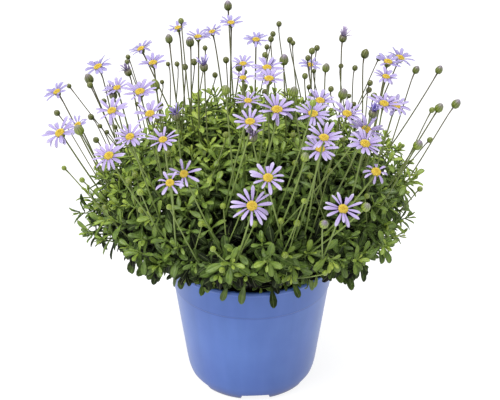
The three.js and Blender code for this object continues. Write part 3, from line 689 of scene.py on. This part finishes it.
# The camera: how far in front of the axis and how high it stands, the photograph's width and the
# focal length in pixels, the column of the axis, the row of the middle, and how far it looks down
eye_distance = 671.0
eye_height = 477.0
frame_width = 500
focal = 988.0
axis_column = 251.6
middle_row = 200.0
eye_dip = math.radians(25.9)
# Column, row, and how far behind the axis
open_heads = [
    (57, 92, 2), (60, 133, -55), (78, 125, -22), (98, 67, 30), (117, 88, -42), (140, 92, -62),
    (112, 111, -75), (130, 137, -98), (109, 156, -116), (150, 114, -78), (163, 140, -115),
    (141, 49, 68), (153, 63, -25), (178, 28, 65), (198, 37, -15), (212, 32, 85), (231, 23, 20),
    (243, 64, -25), (243, 78, -65), (184, 174, -110), (170, 183, -140), (248, 101, -94),
    (250, 122, -119), (256, 40, 15), (267, 68, -44), (269, 79, -82), (310, 65, 20),
    (388, 62, -10), (400, 58, 32), (386, 77, -45), (384, 104, -78), (396, 106, -50),
    (277, 110, -105), (320, 101, -64), (313, 114, -90), (347, 114, -90), (324, 138, -130),
    (320, 149, -104), (366, 130, -84), (365, 144, -108), (376, 172, -118), (268, 178, -138),
    (252, 206, -145), (343, 209, -138),
]
large_buds = [
    (228, 6, 42), (169, 39, -10), (190, 42, 5), (89, 79, 0), (79, 130, -62), (155, 85, -40),
    (226, 90, -80), (284, 60, -20), (294, 92, -72), (326, 68, -30),
    (365, 54, 15), (416, 70, 20), (439, 70, 12), (456, 104, 2), (439, 108, -30), (418, 145, -70),
    (305, 157, -130), (324, 224, -140), (366, 207, -125), (239, 67, 10),
    (343, 94, -40),
]
small_buds = [
    (205, 48, 35), (128, 57, 45), (127, 62, 40), (90, 85, -8), (69, 86, 30), (57, 113, 12),
    (64, 168, -70), (82, 180, -85), (279, 24, 60), (273, 34, 75), (293, 43, 35), (317, 48, 45),
    (430, 140, -15), (374, 96, -30), (140, 192, -130), (420, 189, -45), (304, 201, -140),
    (213, 249, -138), (169, 207, -135), (432, 110, -34), (313, 103, -116),
]
# Small buds whose depth the view doesn't give
more_buds = [
    (181, 21), (91, 117), (100, 126), (107, 132), (96, 140), (115, 127), (104, 101), (162, 82),
    (168, 64), (177, 64), (185, 67), (194, 62), (215, 75), (226, 60), (245, 72), (137, 104),
    (161, 105), (157, 120), (168, 153), (129, 181), (135, 175), (226, 135), (271, 39), (267, 47),
    (265, 55), (290, 40), (308, 58), (312, 51), (305, 76), (314, 71), (309, 87), (341, 66),
    (355, 68), (379, 58), (369, 90), (370, 83), (331, 89), (349, 96), (354, 104),
    (254, 103), (265, 92), (310, 176), (293, 135), (343, 139), (295, 163), (330, 171), (297, 223),
    (281, 221), (367, 196), (285, 255), (325, 273), (254, 224), (141, 210), (201, 224), (223, 206),
    (240, 213), (105, 207), (222, 270),
]
# The last number is how fresh the rays are
brushes = [(204, 67, -30, 0.7), (343, 38, 20, 0.1), (128, 72, 20, 0.2), (176, 116, -85, 0.6),
           (253, 137, -122, 0), (373, 113, -95, 1), (113, 95, -40, 0.1)]
# Blooms that are clearly smaller or larger than the rest, by their place in the list
bloom_sizes = {
    0: 0.9, 1: 1.12, 2: 0.85, 3: 1.1, 4: 0.84, 5: 1.06, 7: 0.92, 10: 0.86, 12: 0.95, 13: 0.86,
    14: 0.84, 15: 0.88, 16: 0.88, 17: 0.8, 18: 0.75, 19: 0.9, 20: 0.86, 21: 0.8, 23: 0.9,
    26: 0.78, 28: 1.08, 29: 0.85, 32: 1.14, 34: 1.05, 38: 1.06, 39: 1.06, 42: 1.08,
}
bloom_count = 52
# Buds across the back, which the leaves hide from the front: how many, how far out, how high, how
# far they fan to each side, and how much lower they stand there
back_buds = 14
back_reach = 122
back_height = 190
back_fan = math.radians(50)
back_fall = 30
# How far the leaves reach out from the axis and up from the dome's waist, in search of the first
# leaf behind a bud from front to back, and where buds stand that have none behind them
leaf_reach = 124
leaf_rise = 90
search_from = -150
search_to = 60
search_step = 3
free_depths = (-20, 55)
# How far a head tips from upright, in degrees: so much at a certain height, less for each
# millimetre higher, and the least and the most
tilt = 33
tilt_height = 228
tilt_fall = 0.45
least_tilt = 10
most_tilt = 44
# How far below the middle of a head its stalk joins it
neck_depths = {"bloom": 3.8, "large": 2.8, "small": 1.5, "brush": 2.9}
stalk_radius = 0.57
stalk_shares = {"bloom": 1.1, "large": 1.0, "small": 0.85, "brush": 1.0}
stalk_taper = (1.1, 0.82)
neck_flare = 1.5
stalk_sides = 6
# Shares of the dome at which a stalk starts and comes out of the leaves
stalk_root = 0.62
stalk_knee = 0.87
# How much of a stalk's length stays in line with each end
stalk_ease = 0.12
stalk_steps = 9
# Turns aside that a stalk may take, tried in this order, and how clear of the other blooms it has
# to stay
stalk_swings = (0, 0.08, -0.08, 0.16, -0.16, 0.24, -0.24, 0.34, -0.34, 0.45, -0.45)
bloom_clearance = 11
# A stalk's colour turns from its painted lit colours in front to its painted shaded colours at the
# back between these distances behind the axis
stalk_shade = (-120, -10)
draw = np.random.default_rng(53)


def place_of(column, row, behind):
    """Where a head stands that shows at that column and row, that far behind the axis."""
    rise = (middle_row - row) / focal
    sight = np.array([(column - axis_column) / focal,
                      math.cos(eye_dip) + rise * math.sin(eye_dip),
                      rise * math.cos(eye_dip) - math.sin(eye_dip)])
    sight = sight * (behind + eye_distance) / sight[1]
    return np.array([sight[0], behind, eye_height + sight[2]])


def depth_of(column, row):
    """How far behind the axis a bud stands: just outside the leaves where they lie behind it, and
    near the middle where none do."""
    for behind in range(search_from, search_to, search_step):
        place = place_of(column, row, behind)
        out = math.hypot(place[0], place[1]) / leaf_reach
        rise = max(place[2] - dome_waist, 0) / leaf_rise
        if out ** 2 + rise ** 2 < 1 and place[2] > lowest_leaf(place):
            return behind - search_step
    return draw.uniform(*free_depths)


def facing_of(place, centre_behind=110):
    """Low heads look outward from a point behind the plant, so towards the light, and high heads
    look up."""
    degrees = tilt - (place[2] - tilt_height) * tilt_fall
    lean = math.radians(min(max(degrees, least_tilt), most_tilt))
    out = unit(np.array([place[0], place[1] - centre_behind]))
    return np.array([*(out * math.sin(lean)), math.cos(lean)])


def within(value, low, high):
    """The share of the way from low to high, from 0 to 1."""
    return min(max((value - low) / (high - low), 0), 1)


def stalk_path(place, facing, depth):
    """From inside the clump, out through the leaves and up to the head, by the first of a few
    ways that stays clear of the blooms. Its lean and how low it comes out vary with its place."""
    neck = place - facing * depth
    height = math.atan2(neck[2] - dome_waist, math.hypot(neck[0], neck[1]))
    lean = 0.2 * math.sin(37 * place[0] + 23 * place[1])
    lower = math.radians(25 + 6 * math.sin(29 * place[0] - 31 * place[2]))
    lift = max(height - lower * math.cos(height), -0.1)
    best = None
    for swing in stalk_swings:
        bearing = math.atan2(neck[1], neck[0]) + swing + lean
        root, knee = on_dome(bearing, lift, stalk_root), on_dome(bearing, lift, stalk_knee)
        knee[2] = min(max(knee[2], lowest_leaf(knee) + 4), neck[2] - 2)
        pull = np.linalg.norm(neck - knee)
        first = knee + unit(knee - root) * pull * stalk_ease
        # It soon takes to the straight way from there to the head
        first = 0.6 * first + 0.4 * neck * 0.35 + 0.4 * knee * 0.65
        last = neck - facing * pull * stalk_ease
        path = np.array([root, 0.5 * (root + knee), *curve(knee, first, last, neck, stalk_steps)])
        clear = min(np.min(np.linalg.norm(path - bloom, axis=1)) for bloom in bloom_places
                    if np.linalg.norm(bloom - place) > 1)
        if best is None or clear > best[0]:
            best = (clear, path)
        if clear > bloom_clearance:
            break
    return best[1]


bloom_places = [place_of(*seen) for seen in open_heads]
bloom_facings = [facing_of(place) for place in bloom_places]
# The blooms across the back stand where their nodes do
for i in range(len(open_heads), bloom_count):
    corners = np.array(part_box(f"bloom_{i + 1:02d}")) * 1000
    bloom_places.append(corners.mean(axis=0))
    bloom_facings.append(facing_of(bloom_places[-1], 0))
heads = [("bloom", *pair) for pair in zip(bloom_places, bloom_facings)]
placed = [("large", place_of(*seen)) for seen in large_buds]
placed += [("small", place_of(*seen)) for seen in small_buds]
placed += [("small", place_of(*seen, depth_of(*seen))) for seen in more_buds]
placed += [("brush", place_of(*seen[:3])) for seen in brushes]
heads += [(kind, place, facing_of(place)) for kind, place in placed]
for i in range(back_buds):
    aside = (2 * i + 1) / back_buds - 1
    out = back_reach * draw.uniform(0.95, 1.05)
    height = back_height - back_fall * aside ** 2 - draw.uniform(0, 20)
    place = spot(math.pi / 2 - back_fan * aside, out, height)
    heads.append(("large" if i % 3 == 0 else "small", place, facing_of(place, 0)))

# Green stalk, smooth and finely haired, with a satin skin. A lit copy of its colours in front and a
# shaded copy at the back are painted: in front it is painted dark low down, in the shade of the
# leaves, and pale yellow green above them; at the back it is painted darker and turns dark olive
# towards the head.
stalk_skin, tree, shader, tones = plant_finish("green_stalk", 0.5, 1.45)
lit_front_stalk = add(tree, "ValToRGB", inputs={"Fac": tones["Green"]},
            stops=[(0.0, "4A5C29"), (0.4, "637735"), (0.75, "80934A"), (1.0, "70823E")])
shaded_back_stalk = add(tree, "ValToRGB", inputs={"Fac": tones["Green"]},
            stops=[(0.0, "64762F"), (0.55, "5C6234"), (1.0, "4E4534")])
skin = add(tree, "MixRGB", inputs={"Fac": tones["Blue"], "Color1": lit_front_stalk, "Color2": shaded_back_stalk})
feed(tree, shader, {"Base Color": skin})

stalk_parts = [[] for _ in range(outer_clumps + 1)]
paths = []
for i, (kind, place, facing) in enumerate(heads):
    depth = neck_depths[kind] * (bloom_sizes.get(i, 1) if kind == "bloom" else 1)
    path = stalk_path(place, facing, depth)
    paths.append(path)
    radii = stalk_shares[kind] * stalk_radius * np.linspace(*stalk_taper, len(path))
    radii[-1] *= neck_flare
    points, faces = tube(path, radii, stalk_sides)
    tones = tube_tones(len(path), stalk_sides, within(place[1], *stalk_shade))
    stalk_parts[clump_of(path[0])].append((points, faces, tones, 0))
for clump, parts in enumerate(stalk_parts):
    one_piece(clump_name("stalks", clump), parts, [stalk_skin])

# BUDS
# A bud is a tight globe or egg of overlapping green bracts, two to six millimetres across, closed
# over the folded rays. The larger ones show a violet tip. They are part of the plant.
small_bud = [(0, -2.2), (0.9, -2.15), (1.75, -1.45), (2.25, -0.3), (2.05, 0.8), (1.4, 1.75),
             (0.55, 2.3), (0, 2.5)]
large_bud = [(0, -3.5), (1.1, -3.4), (2.4, -2.6), (3.15, -1.1), (3.1, 0.5), (2.5, 2.1), (1.6, 3.3),
             (0.7, 4.1), (0, 4.4)]
bract_count = 9
bract_depth = 0.1
bud_sides = 18
# Shares of its drawn size that a bud may have
large_sizes = (0.85, 1.1)
small_sizes = (0.8, 1.15)
# How far a head may be twisted on its stalk, nearly a full turn
twists = (0, 6)


def frame_about(axis, twist):
    """Two sides square to the axis, turned by the twist, and the axis."""
    start = np.array([0, 0, 1.0]) if abs(axis[2]) < 0.9 else np.array([0, 1.0, 0])
    side = unit(np.cross(start, axis))
    other = np.cross(axis, side)
    side, other = (side * math.cos(twist) + other * math.sin(twist),
                   other * math.cos(twist) - side * math.sin(twist))
    return np.array([side, other, axis])


def ribbed(outline, sides, ribs, depth, tip, painted_light):
    """A turned body with upright ribs, each a bract that overlaps the next. The tone is 0 at the
    middle of a bract to 1 between two, the share of the height, the tip's share of violet, and
    how much painted light it has, which paints it lighter in front."""
    points, faces = turned(outline, sides)
    angle = np.arctan2(points[:, 1], points[:, 0])
    heights = (points[:, 2] - outline[0][1]) / (outline[-1][1] - outline[0][1])
    seam = 0.5 - 0.5 * np.cos(ribs * angle + 4 * heights)
    points[:, :2] *= (1 - depth * seam)[:, None]
    tones = np.c_[seam, heights, np.full((len(points), 2), [tip, painted_light])]
    return points, faces, tones


# Bud scales: leathery green bracts with dark seams and a smooth skin that shines a little. The tip
# shows the violet of the folded rays. Buds in the light are painted a lighter yellow green, as
# painted light.
bract, tree, shader, tones = plant_finish("green_bract", 0.32, 1.5)
scale = add(tree, "ValToRGB", inputs={"Fac": tones["Green"]},
            stops=[(0.0, "373C1D"), (0.35, "51592A"), (0.75, "686E36"), (1.0, "69673E")])
scale = add(tree, "MixRGB", inputs={"Fac": tones["Alpha"], "Color1": scale,
                                    "Color2": linear("8CA03A")})
seam = add(tree, "ValToRGB", inputs={"Fac": tones["Red"]},
           stops=[(0.4, "FFFFFF"), (1.0, "84866E")])
scale = add(tree, "MixRGB", {"blend_type": "MULTIPLY"},
            {"Fac": 1.0, "Color1": scale, "Color2": seam})
tip = add(tree, "MapRange", inputs={"Value": tones["Green"], "From Min": 0.62, "From Max": 0.95})
tip = add(tree, "Math", {"operation": "MULTIPLY"}, {0: tip, 1: tones["Blue"]})
skin = add(tree, "MixRGB", inputs={"Fac": tip, "Color1": scale, "Color2": linear("7F7189")})
feed(tree, shader, {"Base Color": skin})

bud_parts = [[] for _ in range(outer_clumps + 1)]
for (kind, place, facing), path in zip(heads, paths):
    if kind in ("small", "large"):
        large = kind == "large"
        size = draw.uniform(*(large_sizes if large else small_sizes))
        # Three large buds in four show violet at the tip
        tip = draw.uniform(0.4, 1.0) if large and draw.random() < 0.75 else 0.0
        # Painted light: buds in front, and those far out on the right, are painted a lighter yellow
        # green
        painted_light = min(max(-place[1], 0) / 110 + max(place[0] - 90, 0) / 180, 1)
        shape, faces, tones = ribbed(large_bud if large else small_bud, bud_sides, bract_count,
                                     bract_depth, tip, painted_light)
        points = shape * size @ frame_about(facing, draw.uniform(*twists)) + place
        bud_parts[clump_of(path[0])].append((points, faces, tones, 0))
for clump, parts in enumerate(bud_parts):
    one_piece(clump_name("buds", clump), parts, [bract])

# DAISIES
# Each open head is a ring of eight to fifteen blunt strap rays round a dome of tiny tube florets,
# held in a green cup of bracts that widens from the stalk. The rays are thin and slightly grooved.
ray_outline = [(0, 0.34), (0.2, 0.56), (0.45, 0.86), (0.7, 1.0), (0.88, 0.84), (1, 0.3)]
broad_outline = [(0, 0.5), (0.2, 0.8), (0.45, 0.98), (0.7, 1.0), (0.88, 0.84), (1, 0.34)]
ray_length = 9.1
ray_width = 2.3
ray_thickness = 0.3
ray_fold = 0.16
ray_start = 2.6
# Heads that stand above this height have the broader rays
broad_from = 234
# How far rays rise, in degrees, and how much more they do in heads between these heights
ray_lean = 8
high_lean = 12
lean_heights = (225, 250)
disc_radius = 3.0
disc_rise = 1.4
disc_outline = [(0, -0.4), (2.8, -0.4), (3.0, 0.1), (2.7, 0.6), (1.9, 1.1), (1.0, 1.3), (0, 1.4)]
disc_sides = 20
floret_count = 64
floret_radii = [0.26, 0.34, 0.2]
floret_sides = 5
cup_outline = [(0, -4.3), (0.7, -4.3), (1.5, -3.7), (2.3, -2.6), (2.9, -1.2), (3.15, -0.2),
               (2.6, 0.1), (0, 0.1)]
cup_sides = 26
cup_bracts = 13
cup_bract_depth = 0.08
# Blooms by their place in the list: those with 8 rays, of which one fades, and those with 15
few_rays = 8
most_rays = 15
fading_blooms = (40,)
sparse_blooms = (18, 19, 20)
full_blooms = (1, 3, 5, 8, 32, 34, 36, 38, 39)
# A ray's colour turns from its painted lit colours in front to its painted shaded colours at the
# back between these distances behind the axis
ray_shade = (-110, 10)

# Ray floret: a thin lavender strap with fine lengthwise veins, satin, paler at its margins and
# tip, deeper violet at the base.
ray_skin, tree, shader, tones = plant_finish("lavender_ray", 0.5, 1.4)
lit_front_ray = add(tree, "ValToRGB", inputs={"Fac": tones["Green"]},
           stops=[(0.0, "8A79AE"), (0.3, "9D8CBA"), (0.8, "AA9EC3"), (1.0, "BFB8CE")])
shaded_back_ray = add(tree, "ValToRGB", inputs={"Fac": tones["Green"]},
          stops=[(0.0, "7B6FA6"), (0.3, "8C82B4"), (0.8, "9891BC"), (1.0, "A8A2C4")])
# Painted light and shade: rays in front take the lighter colours, those at the back the darker,
# bluer ones
strap = add(tree, "MixRGB", inputs={"Fac": tones["Blue"], "Color1": lit_front_ray, "Color2": shaded_back_ray})
edge = add(tree, "ValToRGB", inputs={"Fac": tones["Red"]},
           stops=[(0.0, "E2DDF0"), (0.3, "FFFFFF"), (1.0, "FFFFFF")])
strap = add(tree, "MixRGB", {"blend_type": "MULTIPLY"},
            {"Fac": 0.8, "Color1": strap, "Color2": edge})
feed(tree, shader, {"Base Color": strap})

# Disc florets: packed golden tubes, matt with pollen, more orange towards the middle.
pollen, tree, shader, tones = plant_finish("golden_florets", 0.75, 1.4)
gold_skin = add(tree, "ValToRGB", inputs={"Fac": tones["Green"]},
                stops=[(0.0, "BD9A35"), (0.35, "C9B03F"), (0.8, "D2C04E"), (1.0, "B8A847")])
feed(tree, shader, {"Base Color": gold_skin})


def ray_ways(angle, rise):
    """The way out round the head, a ray's direction if it rises that far, and its upper side."""
    radial = spot(angle)
    along = radial * math.cos(rise) + np.array([0, 0, math.sin(rise)])
    face = np.array([0, 0, math.cos(rise)]) - radial * math.sin(rise)
    return radial, along, face


def daisy(place, facing, size, count, fading):
    """The parts of one open head: rays 0, florets 1, cup 2. Those of a fading one are short and
    curled, and those at the back are shorter and wider."""
    frame_here = frame_about(facing, draw.uniform(*twists))
    far_share = within(place[1], *ray_shade)
    broad = place[2] > broad_from
    lean = ray_lean + high_lean * within(place[2], *lean_heights) + draw.uniform(-3, 5)
    spread = 0.7 if fading else draw.uniform(0.93, 1.08) * (1 - 0.1 * far_share - 0.03 * broad)
    rows = []
    for i in range(count):
        angle = 2 * math.pi * (i + draw.normal(0, 0.18)) / count
        rise = math.radians(lean + draw.normal(0, 5) + (5 if i % 2 else -3))
        radial, along, face = ray_ways(angle, rise)
        sway = np.cross(along, face) * draw.normal(0, 0.12)
        face = unit(face + sway)
        # One ray in ten is bent down
        curl = draw.uniform(0.05, 0.5) + (0.9 if draw.random() < 0.1 else 0) + 0.8 * fading
        # Every second ray starts above its neighbours
        start = radial * ray_start + [0, 0, 0.1 + 0.25 * (i % 2)]
        length = spread * ray_length * draw.uniform(0.84, 1.08)
        width = (ray_width + 0.3 * far_share) * draw.uniform(0.75, 1.18)
        rows.append((*start, *along, *face, length, width, curl, far_share))
    rays = blades(rows, broad_outline if broad else ray_outline, ray_thickness, ray_fold)
    parts = [(*rays, 0), (*turned(disc_outline, disc_sides), (0, 0.1, 0, 0), 1)]
    for i in range(floret_count):
        share = math.sqrt((i + 0.5) / floret_count)
        angle = golden_angle * i
        height = disc_rise * (1 - share ** 2.2) - 0.05
        tall = 0.3 + 0.35 * share + draw.uniform(0, 0.15)
        base = spot(angle, disc_radius * share * 0.97, height)
        up = unit(np.array([math.cos(angle) * share * 0.7, math.sin(angle) * share * 0.7, 1]))
        floret = tube([base, base + up * tall * 0.6, base + up * tall], floret_radii, floret_sides)
        parts.append((*floret, (0, share, 0, 0), 1))
    # The cup is painted lighter in front, as painted light
    painted_light = 0.5 - 0.5 * far_share
    cup = ribbed(cup_outline, cup_sides, cup_bracts, cup_bract_depth, tip=0.0, painted_light=painted_light)
    parts.append((*cup, 2))
    return [(points * size @ frame_here + place, faces, tone, number)
            for points, faces, tone, number in parts]


for i, (place, facing) in enumerate(zip(bloom_places, bloom_facings)):
    count = int(draw.integers(11, 15))
    if i in sparse_blooms or i in fading_blooms:
        count = few_rays
    elif i in full_blooms:
        count = most_rays
    parts = daisy(place, facing, bloom_sizes.get(i, 1), count, i in fading_blooms)
    flower = one_piece(f"daisy_{i + 1:02d}", parts, [ray_skin, pollen, bract])
    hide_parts(f"bloom_{i + 1:02d}")

# HALF-OPEN AND WITHERED HEADS
# A few heads are just opening, with their rays still standing in a violet brush, or are over, with
# the rays dried and curled. They sit in the same green bracts as the buds.
brush_rays = 12
brush_fold = 0.3
# The outline of a bud's bracts, open at the top
open_bracts = large_bud[:6] + [(1.6, 2.2), (0, 2.2)]
brush_size = 0.95

# Folded or dried rays: thin crumpled straps, violet when fresh and greyish mauve with pale tips
# when dry.
folded, tree, shader, tones = plant_finish("folded_ray", 0.6, 1.4)
dry = add(tree, "ValToRGB", inputs={"Fac": tones["Green"]},
          stops=[(0.0, "5E5470"), (0.4, "82748F"), (0.8, "A495B4"), (1.0, "C4B9C8")])
fresh = add(tree, "ValToRGB", inputs={"Fac": tones["Green"]},
            stops=[(0.0, "574A92"), (0.5, "7266B4"), (1.0, "A79CD2")])
skin = add(tree, "MixRGB", inputs={"Fac": tones["Blue"], "Color1": dry, "Color2": fresh})
feed(tree, shader, {"Base Color": skin})

brush_parts = []
for column, row, behind, freshness in brushes:
    place = place_of(column, row, behind)
    frame_here = frame_about(facing_of(place), draw.uniform(*twists))
    points, faces, tones = ribbed(open_bracts, bud_sides, bract_count, bract_depth,
                                  tip=0.2, painted_light=0.0)
    brush_parts.append((points * brush_size @ frame_here + place, faces, tones, 1))
    rows = []
    for i in range(brush_rays):
        rise = math.radians(draw.uniform(58, 88))
        radial, along, face = ray_ways(golden_angle * i, rise)
        start = radial * draw.uniform(0.3, 1.5) + [0, 0, 1.2]
        length = draw.uniform(5, 8)
        width = draw.uniform(0.9, 1.5)
        curl = draw.uniform(-0.6, 1.2)
        rows.append((*start, *along, *face, length, width, curl, freshness))
    points, faces, tones = blades(rows, ray_outline, ray_thickness, brush_fold)
    brush_parts.append((points @ frame_here + place, faces, tones, 0))
one_piece("half_open_heads", brush_parts, [folded, bract])

# STUDIO
# White paper on a light table, under three soft lamps in a pale room, and the camera at the
# viewing angle of the photograph.

# Half the paper's width in metres, and how strongly the table and the room glow
paper_half = 6
table_glow = 0.88
room_glow = 0.55

floor_mesh = bpy.data.meshes.new("floor")
floor_mesh.from_pydata([(x * paper_half, y * paper_half, 0)
                        for x, y in ((-1, -1), (1, -1), (1, 1), (-1, 1))], [], [(0, 1, 2, 3)])
floor = bpy.data.objects.new("floor", floor_mesh)
bpy.context.collection.objects.link(floor)
# Plain matt paper, lit from below, so that it shows white with hardly a shadow
paper, tree, shader = finish("white_paper", 0.9, 1.4)
feed(tree, shader, {"Base Color": linear("7F7F7F"), "Emission Color": linear("FFFFFF"),
                    "Emission Strength": table_glow})
floor_mesh.materials.append(paper)
floor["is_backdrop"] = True

world = bpy.data.worlds.new("soft_room")
bpy.context.scene.world = world
world.use_nodes = True
feed(world.node_tree, world.node_tree.nodes["Background"],
     {"Color": linear("FFFFFF"), "Strength": room_glow})
bpy.context.scene.view_settings.view_transform = "Standard"


def softbox(name, place, target, size, power):
    """A round lamp with a diffuser: where it stands and aims in metres, its width, its watts."""
    light = bpy.data.lights.new(name, "AREA")
    light.shape = "DISK"
    light.size = size
    light.energy = power
    lamp = bpy.data.objects.new(name, light)
    bpy.context.collection.objects.link(lamp)
    lamp.location = place
    reach = np.array(target) - np.array(place)
    lamp.rotation_euler = (math.atan2(math.hypot(reach[0], reach[1]), -reach[2]), 0,
                           math.atan2(reach[1], reach[0]) - math.pi / 2)


softbox("key", (-0.8, -1.0, 2.0), (0, 0, 0.15), 1.0, 38)
softbox("top", (0.5, 0.2, 2.3), (0, 0, 0.15), 1.4, 33)
softbox("left", (-1.5, -0.9, 0.7), (0, 0, 0.08), 0.7, 6)

camera_data = bpy.data.cameras.new("camera")
camera = bpy.data.objects.new("camera", camera_data)
bpy.context.collection.objects.link(camera)
camera_data.sensor_width = 36
camera_data.lens = focal / frame_width * camera_data.sensor_width
camera_data.shift_x = (frame_width / 2 - axis_column) / frame_width
camera.location = (0, -eye_distance / 1000, eye_height / 1000)
camera.rotation_euler = (math.pi / 2 - eye_dip, 0, 0)
bpy.context.scene.camera = camera

low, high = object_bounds()
